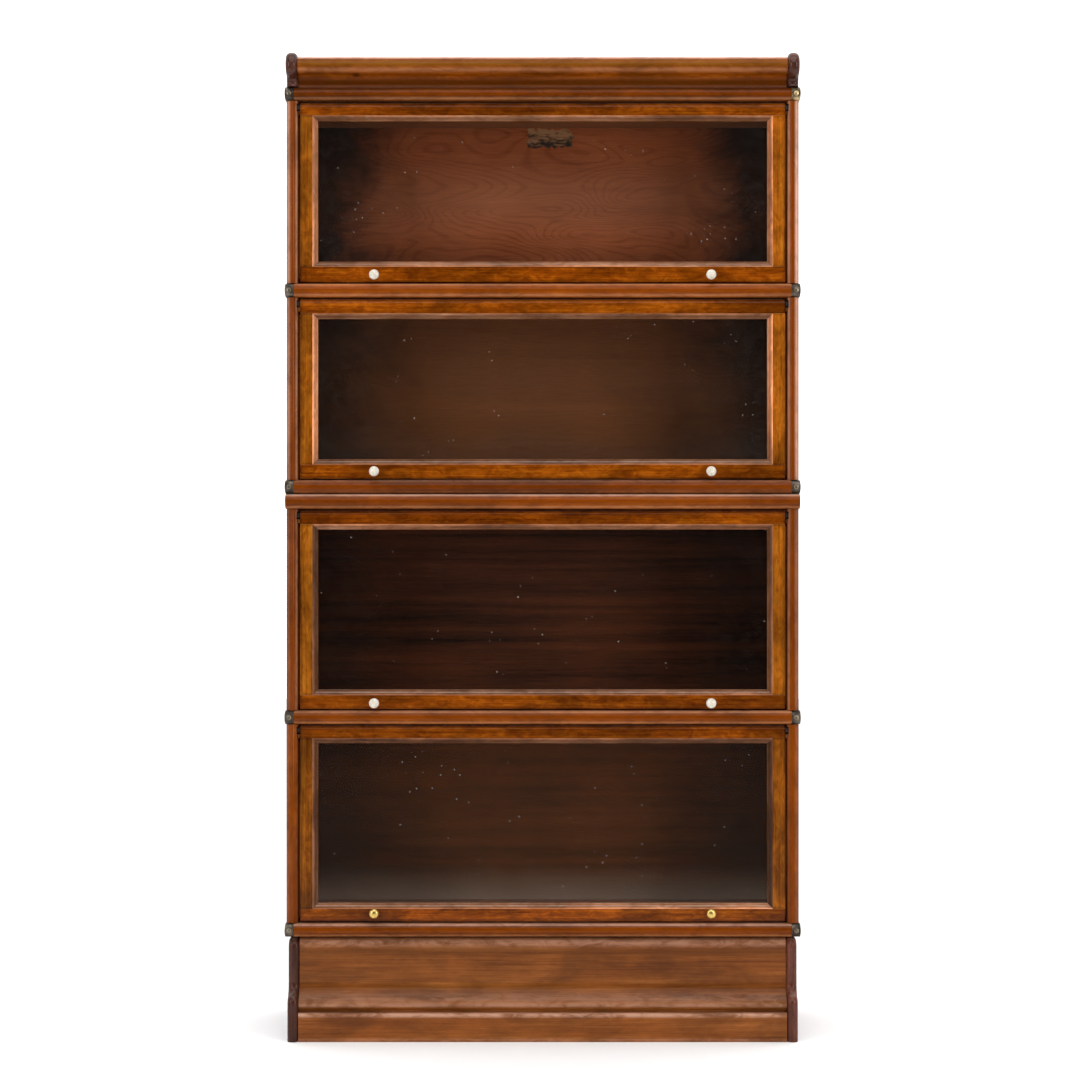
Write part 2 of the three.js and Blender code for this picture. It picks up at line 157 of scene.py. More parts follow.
def sweep(name, moves, corner, right, rise, run):
    # draws an outline from (right, rise) places and (centre, centre, degrees, steps) arcs, then extrudes it
    def place(u, v):
        return corner + right * u + rise * v

    axis = right.cross(rise)
    piece = startPoint()
    here = place(*moves[0])
    bpy.ops.transform.translate(value=here)
    for move in moves[1:]:
        if len(move) == 2:
            there = place(*move)
            bpy.ops.mesh.extrude_region_move(TRANSFORM_OT_translate={"value": there - here})
            here = there
        else:
            centre, turn, steps = place(move[0], move[1]), math.radians(move[2]), move[3]
            bpy.ops.mesh.spin(steps=steps, angle=-turn, center=centre, axis=axis)
            here = centre + Matrix.Rotation(turn, 3, axis) @ (here - centre)
    bpy.ops.mesh.select_all(action="SELECT")
    bpy.ops.mesh.remove_doubles(threshold=0.001 * mm)
    bpy.ops.mesh.edge_face_add()
    bpy.ops.mesh.extrude_region_move(TRANSFORM_OT_translate={"value": run})
    closeFacingOut()
    return settle(piece, name)


def softenEdges(piece, width, segments=2, angle=38):
    # breaks the sharp edges, marks them for the wear in the finishes and evens out the shading
    mesh = piece.data
    mesh.materials.clear()
    for _ in range(2):
        mesh.materials.append(None)
    limit = {"limit_method": "ANGLE", "angle_limit": math.radians(angle)}
    modify(piece, "BEVEL", width=width, segments=segments, material=1, **limit)
    wear = mesh.attributes.new("edgeWear", "FLOAT", "FACE")
    wear.data.foreach_set("value", [float(face.material_index == 1) for face in mesh.polygons])
    mesh.polygons.foreach_set("material_index", [0] * len(mesh.polygons))
    mesh.materials.clear()
    bpy.ops.object.shade_smooth_by_angle(angle=math.radians(60))
    modify(piece, "WEIGHTED_NORMAL", keep_sharp=True)
    return piece


def copyOf(piece, name, shift=(0, 0, 0), scale=(1, 1, 1)):
    twin = piece.copy()
    twin.data = piece.data.copy()
    bpy.context.collection.objects.link(twin)
    twin.location, twin.scale = shift, scale
    return settle(twin, name)


def mirrorOf(piece, name):
    twin = copyOf(piece, name, scale=(-1, 1, 1))
    openMesh(twin, "VERT", "SELECT")
    closeFacingOut()
    return twin


def boxOf(piece):
    places = [vert.co for vert in piece.data.vertices]
    return [min(p[i] for p in places) for i in range(3)], [max(p[i] for p in places) for i in range(3)]


def near(a, b):
    return abs(a - b) < 0.05 * mm


def cover(piece, material):
    piece.data.materials.clear()
    piece.data.materials.append(material)


def dress(piece, material, body, slot, *nodes):
    cover(piece, material)
    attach(piece, body)
    if nodes:
        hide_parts(*nodes)


# Building the finishes


bench = {}  # holds the node tree that the steps below add to


def startNodes(owner):  # a material or the world
    owner.use_nodes = True
    owner.node_tree.nodes.clear()
    bench["tree"] = owner.node_tree
    return owner


def add(kind, inputs, **settings):
    node = bench["tree"].nodes.new("ShaderNode" + kind)
    for key, value in settings.items():
        setattr(node, key, value)
    for key, value in inputs.items():
        if isinstance(value, bpy.types.NodeSocket):
            bench["tree"].links.new(value, node.inputs[key])
        else:
            node.inputs[key].default_value = value
    return node


def calc(operation, a, b=0.0, c=0.0):
    return add("Math", {0: a, 1: b, 2: c}, operation=operation).outputs[0]


def times(a, b):
    return calc("MULTIPLY", a, b)


def blend(factor, a, b, how="MIX"):
    return add("Mix", {0: factor, 6: a, 7: b}, data_type="RGBA", blend_type=how).outputs[2]


def stretch(vector, scale, location=(0, 0, 0), rotation=(0, 0, 0)):
    inputs = {"Vector": vector, "Scale": scale, "Location": location, "Rotation": rotation}
    return add("Mapping", inputs).outputs[0]


def cloud(vector, detail=2.0, roughness=0.5, distortion=0.0, scale=1.0):
    inputs = {"Vector": vector, "Detail": detail, "Roughness": roughness}
    return add("TexNoise", {**inputs, "Distortion": distortion, "Scale": scale}).outputs[0]


def between(value, low, high, toLow=0.0, toHigh=1.0):
    inputs = {"Value": value, "From Min": low, "From Max": high, "To Min": toLow, "To Max": toHigh}
    return add("MapRange", inputs, interpolation_type="SMOOTHSTEP").outputs[0]


def ramp(factor, stops):
    node = add("ValToRGB", {0: factor})
    band = node.color_ramp
    while len(band.elements) < len(stops):
        band.elements.new(0.5)
    for element, (position, color) in zip(band.elements, stops):
        element.position, element.color = position, (*color, 1)
    return node.outputs[0]


def bumpOf(height, distance, strength=1.0, normal=None):
    inputs = {"Height": height, "Distance": distance, "Strength": strength}
    if normal is not None:
        inputs["Normal"] = normal
    return add("Bump", inputs).outputs[0]


def objectPlace():
    return add("TexCoord", {}).outputs["Object"]


def axesOf(vector):
    return add("SeparateXYZ", {0: vector}).outputs


def facingOf():
    return axesOf(add("TexCoord", {}).outputs["Normal"])


def wearOf():  # 1 on the broken edges that softenEdges marked
    return add("Attribute", {}, attribute_name="edgeWear").outputs["Fac"]


def flatPattern(place, over, rise, *cloudLook):  # for a flat piece that stands upright
    return cloud(stretch(place, (over, 1, rise)), *cloudLook)


def paintWith(inputs):
    add("OutputMaterial", {"Surface": add("BsdfPrincipled", inputs).outputs[0]})


# Old mahogany: bands, streaks, fibres, curls and dark pores, with painted shade towards the rims of flat
# pieces and painted highlights, reflections and shade in bands along rounded ones
woodTones = {
    "orange": {"dark": (0.070, 0.012, 0.0006), "body": (0.190, 0.039, 0.0012), "light": (0.36, 0.092, 0.004)},
    "amber": {"dark": (0.110, 0.026, 0.0015), "body": (0.270, 0.074, 0.0045), "light": (0.44, 0.150, 0.0110)},
    "brown": {"dark": (0.115, 0.029, 0.0045), "body": (0.205, 0.059, 0.0095), "light": (0.31, 0.105, 0.0220)},
    "dark": {"dark": (0.034, 0.009, 0.005), "body": (0.075, 0.022, 0.012), "light": (0.130, 0.044, 0.026)},
    # the rubbed tone, used on the mouldings, is paler and pinkish: painted sheen as well as wear
    "rubbed": {"dark": (0.150, 0.050, 0.018), "body": (0.320, 0.125, 0.055), "light": (0.50, 0.245, 0.140)},
}
woodLook = {  # a piece's own finish may change any of these
    "light": 1.0,  # of the whole piece
    "contrast": 1.0,
    "mottle": 0.36,
    "warp": 0.010,  # how far the grain wanders, m
    "bandShare": 0.30,
    "streakShare": 0.20,
    "fibreShare": 0.20,
    "curlShare": 0.30,
    "curlScale": 1.0,
    "box": None,  # painted shade: the wood is darker along the rim of this box, or paler as a painted highlight where rim is over 1
    "rim": 0.62,
    "edgeReach": 0.0055,  # width of the rim, m
    "worn": [],  # painted highlights, reflections and shade in bands, made patchy like scuffs: axis, where one starts, peaks and ends, strength and tone
    "patch": (0.6, 1.12),  # how uneven they are
    "paintedLightBehind": None,  # painted light: the underside is made lighter behind this place, lifting its shade
    "knots": [],  # x, z and radius of each
    "dust": 0.12,
    "poreDepth": 0.00010,
    "undulation": 0.00030,
    "gloss": 0.0,  # the varnish alone shines
    "coat": 0.22,
    "coatRoughness": 0.2,
    "roughness": (0.34, 0.50),
}
grainPatterns = {  # stretch along and across the grain, detail, roughness and distortion
    "bands": (1.4, 30, 2, 0.5, 0.4),
    "streaks": (3.2, 150, 3, 0.62, 0.2),
    "fibres": (9, 520, 2, 0.6, 0.0),
    "curls": (26, 62, 4, 0.62, 1.6),
    "pores": (60, 1900, 1, 0.5, 0.0),
    "spots": (8, 17, 3, 0.6, 0.5),
    "waves": (7, 55, 1, 0.5, 0.0),
}
# tones for the painted highlights, reflections and shade on the wood; the darkest also colours the knots, and
# the reddish one is painted light under the boards
sheenShadeAndKnotTones = {
    "pale": (0.50, 0.27, 0.18, 1),
    "tan": (0.47, 0.20, 0.085, 1),
    "shadeAndKnot": (0.045, 0.012, 0.001, 1),
    "deep": (0.185, 0.035, 0.0008, 1),
    "bright": (0.78, 0.48, 0.36, 1),
    "underLight": (0.37, 0.15, 0.058, 1),
    "olive": (0.19, 0.075, 0.010, 1),
}
grainTurns = {"x": (0, 0, 0), "y": (0, 0, -math.pi / 2), "z": (0, math.pi / 2, 0)}


def seedPlace(seed):  # each piece is cut from its own part of the log
    return (seed * 3.17 % 11, seed * 1.93 % 7, seed * 2.41 % 5)


def grey(value):
    return add("CombineColor", {0: value, 1: value, 2: value}).outputs[0]


def edgeShade(place, box, rough, reach):  # 0 at the rim of the box's front, 1 inside it
    (left, _, foot), (right, _, head) = box
    x, _, z = axesOf(place)
    distance = calc("SUBTRACT", x, left)
    for a, b in ((right, x), (z, foot), (head, z)):
        distance = calc("MINIMUM", distance, calc("SUBTRACT", a, b))
    distance = calc("DIVIDE", distance, times(rough, 2 * reach))
    return between(distance, 0.0, 1.0)


def patternsOf(place, grain, seed, look):  # every pattern of the log, bent a little sideways
    log = stretch(place, (1, 1, 1), seedPlace(seed), grainTurns[grain])
    bent = add("TexNoise", {"Vector": stretch(log, (1.6, 9, 9)), "Scale": 1.0}).outputs["Color"]
    steps = {"SUBTRACT": (0.5, 0.5, 0.5), "MULTIPLY": (0, look["warp"], look["warp"]), "ADD": log}
    for operation, value in steps.items():
        bent = add("VectorMath", {0: bent, 1: value}, operation=operation).outputs[0]
    patterns = {}
    for kind, (along, over, *cloudLook) in grainPatterns.items():
        scale = look["curlScale"] if kind == "curls" else 1.0
        patterns[kind] = cloud(stretch(bent, (along, over, over)), *cloudLook, scale)
    patterns["pores"] = between(patterns["pores"], 0.60, 0.70)
    return patterns


def grainColor(place, patterns, colors, look):
    spots, mottle, value = patterns["spots"], look["mottle"], 0.0
    for kind in ("band", "streak", "fibre", "curl"):
        value = calc("MULTIPLY_ADD", patterns[kind + "s"], look[kind + "Share"], value)
    shares = sum(look[kind + "Share"] for kind in ("band", "streak", "fibre", "curl"))
    value = calc("MULTIPLY_ADD", value, look["contrast"], 0.5 - look["contrast"] * shares / 2)
    color = ramp(value, [(0.36, colors["dark"]), (0.50, colors["body"]), (0.65, colors["light"])])
    shade = between(spots, 0.32, 0.68, 1 - mottle, 1 + 0.5 * mottle)
    # painted shade along the rim of the box, or a painted highlight where rim is over 1
    if look["box"] is not None:
        inside = edgeShade(place, look["box"], spots, look["edgeReach"])
        shade = times(shade, calc("MULTIPLY_ADD", inside, 1 - look["rim"], look["rim"]))
    color = blend(1.0, color, grey(times(shade, look["light"])), "MULTIPLY")
    return blend(times(patterns["pores"], 0.5), color, (*colors["dark"], 1))


# real edge wear, dust on upward faces and knots, together with painted highlights, reflections and shade in
# bands and painted light on undersides
def wearDustAndPaintedLight(color, place, patterns, colors, look):
    curls, spots = patterns["curls"], patterns["spots"]
    rubbed = times(wearOf(), between(spots, 0.46, 0.60))
    rubbedColor = tuple(min(1, 1.15 * c + 0.015) for c in colors["light"])
    color = blend(times(rubbed, 0.5), color, (*rubbedColor, 1))
    upward = facingOf()[2]
    dusty = between(curls, 0.3, 0.6, 0.4 * look["dust"], look["dust"])
    color = blend(times(between(upward, 0.6, 0.95), dusty), color, (0.52, 0.46, 0.40, 1))
    parts = axesOf(place)
    patchy = between(calc("ADD", curls, spots), 0.75, 1.2, *look["patch"])
    # painted highlights, reflections and shade in bands along an axis, made patchy like scuffs
    for axis, start, peak, end, amount, bandTone in look["worn"]:
        strength = times(between(parts[axis], start, peak), between(parts[axis], end, peak))
        color = blend(times(strength, times(patchy, amount)), color, sheenShadeAndKnotTones[bandTone])
    # painted light on the undersides behind the caps, lifting their shade
    if look["paintedLightBehind"] is not None:
        behind = calc("GREATER_THAN", parts[1], look["paintedLightBehind"])
        color = blend(times(between(upward, -0.7, -0.95), behind), color, sheenShadeAndKnotTones["underLight"])
    for x, z, radius in look["knots"]:
        spot = stretch(place, (0.4 / radius, 0, 1 / radius), (-0.4 * x / radius, 0, -z / radius))
        distance = add("VectorMath", {0: spot}, operation="LENGTH").outputs["Value"]
        color = blend(between(distance, 1.3, 0.3, 0.0, 0.85), color, sheenShadeAndKnotTones["shadeAndKnot"])
    return color


def mahogany(name, tone, grain, seed, **changes):
    material = startNodes(bpy.data.materials.new(name))
    look, colors, place = {**woodLook, **changes}, woodTones[tone], objectPlace()
    patterns = patternsOf(place, grain, seed, look)
    color = grainColor(place, patterns, colors, look)
    relief = calc("SUBTRACT", patterns["fibres"], patterns["pores"])
    normal = bumpOf(patterns["waves"], look["undulation"], 0.6)
    paintWith({
        "Base Color": wearDustAndPaintedLight(color, place, patterns, colors, look),
        "Roughness": between(patterns["spots"], 0.3, 0.7, *look["roughness"]),
        "Specular IOR Level": look["gloss"],
        "Normal": bumpOf(relief, look["poreDepth"], 0.5, normal),
        "Coat Weight": look["coat"],
        "Coat Roughness": look["coatRoughness"],
    })
    return material


def woodwork(piece, name, tone, grain, seed, body, *nodes, slot="mahogany", **changes):
    dress(piece, mahogany(name + "_wood", tone, grain, seed, **changes), body, slot, *nodes)


# Thin back panels: rotary-cut veneer with rings, or plain dark boards with streaks
panelTones = {
    "section_1": {"low": (0.225, 0.042, 0.007), "high": (0.620, 0.160, 0.046), "rings": 0.60, "streaks": 0.34,
                  "ends": 0.08, "foot": 0.30, "paintedGlow": 0.22, "floorReflectionHaze": 0.0},
    "section_2": {"low": (0.125, 0.037, 0.009), "high": (0.300, 0.095, 0.026), "rings": 0.12, "streaks": 0.25,
                  "ends": 0.25, "foot": 0.60, "paintedGlow": 0.05, "floorReflectionHaze": 0.0},
    "section_3": {"low": (0.013, 0.0035, 0.0012), "high": (0.125, 0.030, 0.008), "rings": 0.05,
                  "streaks": 0.85, "ends": 0.50, "foot": 1.2, "paintedGlow": 0.0, "floorReflectionHaze": 0.0},
    "section_4": {"low": (0.040, 0.012, 0.002), "high": (0.160, 0.040, 0.004), "rings": 0.10, "streaks": 0.40,
                  "ends": 0.60, "foot": 0.9, "paintedGlow": 0.0, "floorReflectionHaze": 1.0},
}


veneerPatterns = {  # stretch across and up, detail, roughness and distortion
    "hills": (2.6, 8.5, 1.5, 0.45, 0.35),
    "streaks": (1.4, 55, 4, 0.6, 0.3),
    "fibres": (26, 520, 3, 0.65, 0.0),
    "stains": (3.2, 4.6, 3, 0.55, 0.0),
    "wander": (7, 8, 4, 0.6, 0.8),
}
veneerLook = {
    "rings": 240.0,  # how closely the hills are cut
    # a painted glow across the middle height of a panel
    "paintedGlow": (0.66, 0.30, 0.18, 1),
    "floorReflectionHaze": (0.22, 0.14, 0.10, 1),  # a painted reflection of the floor in the glass: a greyish haze towards the foot
    "outside": [(0.060, 0.028, 0.012), (0.200, 0.105, 0.052)],
}


def backVeneer(name, seed, tone, box):
    material = startNodes(bpy.data.materials.new(name))
    (_, _, foot), (half, _, head) = box
    tall, here = head - foot, objectPlace()
    place = stretch(here, (1, 1, 1), seedPlace(seed))
    patterns = [flatPattern(place, *numbers) for numbers in veneerPatterns.values()]
    hills, streaks, fibres, stains, wander = patterns
    rings = between(calc("SINE", times(hills, veneerLook["rings"])), 0.25, 1.0)
    value = calc("MULTIPLY_ADD", fibres, 0.40, times(stains, 0.52))
    value = calc("MULTIPLY_ADD", calc("SUBTRACT", streaks, 0.5), tone["streaks"], value)
    value = calc("MULTIPLY_ADD", rings, -0.16 * tone["rings"], value)
    color = ramp(value, [(0.22, tone["low"]), (0.72, tone["high"])])
    parts = axesOf(here)
    # darker towards the left and right ends and towards the foot, with a wandering edge
    reach = calc("ABSOLUTE", calc("ADD", parts[0], -0.01 * half))
    reach = calc("MULTIPLY_ADD", wander, 0.5 * half, reach)
    darkened = between(reach, 0.78 * half, 1.16 * half, 1.0, tone["ends"])
    height = calc("MULTIPLY_ADD", wander, -0.1 * tall, parts[2])
    footShade = between(height, foot, foot + 0.42 * tall, tone["foot"], 1.0)
    color = blend(1.0, color, grey(times(darkened, footShade)), "MULTIPLY")
    middle = calc("ABSOLUTE", calc("SUBTRACT", height, foot + 0.54 * tall))
    # a painted glow across the middle height
    paintedGlow = times(between(middle, 0.32 * tall, 0.0, 0.0, tone["paintedGlow"]), darkened)
    color = blend(paintedGlow, color, veneerLook["paintedGlow"])
    # painted reflection of the floor as a greyish haze towards the foot
    floorReflectionHaze = between(height, foot + 0.16 * tall, foot - 0.10 * tall, 0.0, tone["floorReflectionHaze"])
    color = blend(floorReflectionHaze, color, veneerLook["floorReflectionHaze"])
    outside = ramp(value, list(zip((0.22, 0.72), veneerLook["outside"])))
    color = blend(calc("GREATER_THAN", facingOf()[1], 0.5), color, outside)
    normal = bumpOf(calc("MULTIPLY_ADD", rings, -0.3, fibres), 0.0002, 0.6)
    paintWith({"Base Color": color, "Roughness": 0.6, "Specular IOR Level": 0.12, "Normal": normal})
    return material


# Old window glass: a thin film of dust, wiped smears near the stiles, specks, and haze at the foot of one
glassLook = {
    "section_1": {"film": 0.003, "haze": 0.000, "smear": 0.004, "speck": 0.4},
    "section_2": {"film": 0.003, "haze": 0.003, "smear": 0.005, "speck": 0.3},
    "section_3": {"film": 0.001, "haze": 0.000, "smear": 0.003, "speck": 0.5},
    "section_4": {"film": 0.001, "haze": 0.000, "smear": 0.003, "speck": 0.5},
}
dustTones = {"film": (0.124, 0.11, 0.10, 1), "speck": (0.62, 0.55, 0.50, 1)}


def windowGlass(name, seed, box, look):
    material = startNodes(bpy.data.materials.new(name))
    (_, _, foot), (half, _, head) = box
    tall, place = head - foot, objectPlace()
    parts = axesOf(place)
    moved = stretch(place, (1, 1, 1), seedPlace(seed))
    nearStile = between(calc("ABSOLUTE", parts[0]), 0.55 * half, 0.97 * half)
    wisps = flatPattern(moved, 24, 30, 5, 0.62, 2.6)
    smears = times(between(wisps, 0.46, 0.62), nearStile)
    cloudy = flatPattern(moved, 5, 9, 4, 0.6, 0.5)
    height = calc("MULTIPLY_ADD", cloudy, -0.35 * tall, parts[2])
    nearFoot = between(height, foot + 0.12 * tall, foot - 0.16 * tall)
    dots = add("TexVoronoi", {"Vector": moved, "Scale": 70.0}, feature="F1").outputs["Distance"]
    chance = cloud(moved, 0, 0.5, 0, 24.0)
    specks = times(between(dots, 0.12, 0.06), between(chance, 0.62, 0.68))
    dust = calc("MULTIPLY_ADD", smears, look["smear"], times(cloudy, look["film"] * 2))
    dust = calc("MULTIPLY_ADD", nearFoot, look["haze"], dust)
    dust = calc("MAXIMUM", times(dust, 5.0), times(specks, look["speck"]))
    dusty = blend(specks, dustTones["film"], dustTones["speck"])
    mirror = add("BsdfGlossy", {"Color": (1, 1, 1, 1), "Roughness": 0.06}).outputs[0]
    clear = add("BsdfTransparent", {"Color": (0.97, 0.985, 0.975, 1)}).outputs[0]
    edge = add("Fresnel", {"IOR": 1.16}).outputs[0]
    pane = add("MixShader", {0: edge, 1: clear, 2: mirror}).outputs[0]
    film = add("BsdfDiffuse", {"Color": dusty}).outputs[0]
    add("OutputMaterial", {"Surface": add("MixShader", {0: dust, 1: pane, 2: film}).outputs[0]})
    return material


# Metals, porcelain and paper


def agedMetal(name, seed, bare, film, coverage, roughness, metallic=1.0, bareAhead=None):
    material = startNodes(bpy.data.materials.new(name))
    here = objectPlace()
    place = stretch(here, (1, 1, 1), seedPlace(seed))
    patches = cloud(stretch(place, (60, 22, 60)), 4, 0.6, 0.4)
    scratches = cloud(stretch(place, (900, 60, 900), (0, 0, 0), (0.3, 0.5, 0.2)), 2)
    if bareAhead is not None:  # the film is rubbed off only in front of this place
        ahead = between(axesOf(here)[1], bareAhead, bareAhead + 12 * mm, 0.0, 0.4)
        patches = calc("SUBTRACT", patches, ahead)
    covered = between(patches, coverage - 0.2, coverage + 0.2, 1.0, 0.0)
    covered = times(covered, calc("SUBTRACT", 1.0, times(wearOf(), 0.6)))
    color = blend(covered, (*bare, 1), (*film, 1))
    color = blend(1.0, color, grey(between(scratches, 0.3, 0.7, 0.8, 1.15)), "MULTIPLY")
    rough = between(covered, 0, 1, roughness, min(0.8, roughness + 0.22))
    normal = bumpOf(calc("MULTIPLY_ADD", scratches, 0.6, patches), 0.00006, 0.4)
    paintWith({"Base Color": color, "Metallic": metallic, "Roughness": rough, "Normal": normal})
    return material


porcelainCoat = {"Coat Weight": 0.5, "Coat Roughness": 0.06}


def ivoryPorcelain(name, seed):
    material = startNodes(bpy.data.materials.new(name))
    place = stretch(objectPlace(), (1, 1, 1), seedPlace(seed))
    stain = cloud(place, 3, 0.6, 0.3, 160.0)
    color = ramp(stain, [(0.3, (0.52, 0.45, 0.33)), (0.62, (0.76, 0.72, 0.62))])
    rough, normal = between(stain, 0.3, 0.7, 0.26, 0.16), bumpOf(stain, 0.00008, 0.4)
    paintWith({"Base Color": color, "Roughness": rough, "Normal": normal, **porcelainCoat})
    return material


def agedPaper(name):
    material = startNodes(bpy.data.materials.new(name))
    place = objectPlace()
    stain = flatPattern(place, 60, 120, 4, 0.6, 1.0)
    fold = cloud(stretch(place, (8, 1, 95), (0.3, 0, 0.2)), 2, 0.5, 0.4)
    value = calc("MULTIPLY_ADD", fold, 0.5, times(stain, 0.5))
    stops = [(0.43, (0.018, 0.009, 0.004)), (0.48, (0.170, 0.068, 0.024)), (0.56, (0.46, 0.210, 0.085))]
    color, normal = ramp(value, stops), bumpOf(value, 0.0003, 0.7)
    paintWith({"Base Color": color, "Roughness": 0.8, "Normal": normal})
    return material


bareBrass, darkBronze = (0.66, 0.50, 0.26), (0.036, 0.028, 0.021)
dullSteel, wornSteel = (0.17, 0.14, 0.11), (0.30, 0.24, 0.17)
print("finishes ready")


# Bottom boards: a full round nose, notched at the front corners for the metal caps
boardLook = {"capLength": 12.8 * mm, "capDepth": 16.3 * mm, "noseSegments": 16, "edge": 0.5 * mm}


def roundNosed(name, low, high, segments):
    board = addBlock(name, low, high)
    roundEdges(board, longEdges(0, (1, low[1])), (high[2] - low[2]) / 2 - roundGap, segments)
    return board


def capNotch(low, high, side):
    corner = (side * (high[0] - boardLook["capLength"]), low[1] + boardLook["capDepth"], low[2] - overrun)
    return addBlock("notch", corner, (side * (high[0] + overrun), low[1] - overrun, high[2] + overrun))


def noseSheenAndShade(low, high, top, bottom, topTone):  # along the upper edge of a nose a painted highlight in the given tone, painted shade for the dark one, along the lower edge a painted reflection, and painted shade between them
    return [
        (2, low + 4 * mm, (low + high) / 2, high - 2 * mm, 0.6, "deep"),
        (2, high - 5 * mm, high - 2.4 * mm, high + 0.6 * mm, top, topTone),
        (2, low - 0.5 * mm, low + 2.8 * mm, low + 6.6 * mm, bottom, "tan"),
    ]


def buildBoard(node, seed, top, bottom, topTone, notched=True, **changes):
    low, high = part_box(node)
    board = roundNosed(node + "_shaped", low, high, boardLook["noseSegments"])
    if notched:
        for side in hands.values():
            carve(board, capNotch(low, high, side))
        changes["paintedLightBehind"] = low[1] + boardLook["capDepth"]
    softenEdges(board, boardLook["edge"])
    worn = noseSheenAndShade(low[2], high[2], top, bottom, topTone)
    woodwork(board, node, "orange", "x", seed, "case", node, worn=worn, contrast=0.8, **changes)


boards = {  # how light a board is, how strong the painted light and shade on its upper and lower edge are, and the tone of the upper one, painted shade under the crown
    "cornice_board": (0.50, 0.75, 0.45, "shadeAndKnot"),
    "section_1_bottom_board": (1.35, 0.60, 0.60, "tan"),
    "section_2_bottom_board": (0.76, 0.15, 0.25, "tan"),
    "section_3_bottom_board": (0.90, 0.65, 0.50, "tan"),
    "section_4_bottom_board": (0.78, 0.72, 0.50, "pale"),
}
for seed, (node, (light, top, bottom, topTone)) in enumerate(boards.items()):
    buildBoard(node, 11 + seed, top, bottom, topTone, light=light)
buildBoard("ledge_board", 21, 0.95, 0.55, "pale", notched=False, dust=0.4)
print("boards done")


# Metal bands: a domed strip on the end of each board, wrapped round the front corner and screwed on
bandLook = {
    "edgeThickness": 0.9 * mm,
    "noseSegments": 18,
    "capDepth": 16 * mm,
    "capLength": 12.5 * mm,
    "seat": 0.3 * mm,
    "edge": 0.35 * mm,
    "screwRadius": 4.2 * mm,
    "screwRise": 1.5 * mm,
    "slotWidth": 0.9 * mm,
    "slotDepth": 0.7 * mm,
    "screwInset": 7.2 * mm,
    "sideScrewShares": (0.18, 0.5, 0.86),  # places along the band, as shares of its length
}
bandMetals = {  # bare metals, and how far the dark film covers them; one band is rubbed bright in front
    "rubbed": {"band": (bareBrass, 0.50), "bareAhead": True, "screw": (bareBrass, 0.36)},
    "dark": {"band": (dullSteel, 0.56), "bareAhead": False, "screw": (wornSteel, 0.47)},
}


def modelBand(name, low, high):  # drawn for the right end
    height, edge = high[2] - low[2], bandLook["edgeThickness"]
    boardEnd = low[0] + bandLook["capLength"]
    flat = boardEnd + bandLook["seat"] + edge
    rise = high[0] - flat
    radius = (height * height / 4 + rise * rise) / (2 * rise)
    turn = 2 * math.degrees(math.asin(height / 2 / radius))
    moves = [(low[0], 0), (flat, 0), (high[0] - radius, height / 2, turn, 10), (low[0], height)]
    strip = sweep(name, moves, Vector((0, low[1], low[2])), across, up, back * (high[1] - low[1]))
    nose = roundNosed("nose", low, (high[0] + overrun, high[1], high[2]), bandLook["noseSegments"])
    carve(strip, nose, "INTERSECT")
    inside = (low[0] - overrun, low[1] + bandLook["capDepth"], low[2] - overrun)
    outside = (boardEnd + bandLook["seat"], high[1] + overrun, high[2] + overrun)
    return carve(strip, addBlock("boardEnd", inside, outside))


def modelScrew(name, centre, outward):  # a round head with a slot, drawn facing forward and then turned
    radius, rise = bandLook["screwRadius"], bandLook["screwRise"]
    deselectAll()
    bpy.ops.mesh.primitive_uv_sphere_add(segments=20, ring_count=12, radius=radius, location=(0, 0, 0))
    screw = bpy.context.object
    screw.scale = (1, rise / radius, 1)
    settle(screw, name)
    sliceOff(screw, (0, 0.25 * rise, 0), (0, 1, 0))
    half, reach = bandLook["slotWidth"] / 2, 2 * radius
    carve(screw, addBlock("slot", (-half, -reach, -reach), (half, bandLook["slotDepth"] - rise, reach)))
    turn = back.rotation_difference(-outward).to_matrix().to_4x4()
    screw.matrix_world = Matrix.Translation(centre) @ turn
    settle(screw, name)
    softenEdges(screw, 0.12 * mm, 1)
    return screw


def buildBands(prefix, seed):
    low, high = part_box(prefix + "_band_right")
    band = modelBand(prefix + "_band_right_shaped", low, high)
    softenEdges(band, bandLook["edge"])
    twin = mirrorOf(band, prefix + "_band_left_shaped")
    middle = (low[2] + high[2]) / 2
    for hand, side, piece in (("right", 1, band), ("left", -1, twin)):
        look = bandMetals["rubbed" if (prefix, hand) == ("cornice", "right") else "dark"]
        (metal, covered), (headMetal, headCovered) = look["band"], look["screw"]
        ahead = low[1] + bandLook["capDepth"] if look["bareAhead"] else None
        finish = agedMetal(piece.name + "_metal", seed + side, metal, darkBronze, covered, 0.34, 0.85, ahead)
        dress(piece, finish, "case", "bronzed_steel", prefix + "_band_" + hand)
        head = agedMetal(piece.name + "_screw_metal", seed + 5, headMetal, darkBronze, headCovered, 0.28)
        places = [((side * (high[0] - bandLook["screwInset"]), low[1], middle), -back)]
        for share in bandLook["sideScrewShares"]:
            places.append(((side * high[0], low[1] + share * (high[1] - low[1]), middle), across * side))
        for i, (centre, outward) in enumerate(places):
            screw = modelScrew(f"{prefix}_band_{hand}_screw_{i + 1}", centre, outward)
            dress(screw, head, "case", "bronzed_steel")


for seed, prefix in enumerate(["cornice"] + sections):
    buildBands(prefix, 31 + 2 * seed)
print("bands done")


# Side panels: rounded front, rebate for the back, stopped groove and small rail for the door's runner
sideLook = {
    "thickness": 20 * mm,
    "rebate": 10 * mm,
    "panel": 7.6 * mm,
    "grooveDepth": 8 * mm,
    "grooveHeight": 13 * mm,
    "grooveLead": 12 * mm,
    "railHeight": 6 * mm,
    "roundSegments": 14,
    "edge": 0.5 * mm,
}


def pivotOf(section):  # where the door turns
    for joint in frame["joints"]:
        if joint["name"] == f"door_{section[-1]}_lift":
            return Vector(joint["pos_m"])


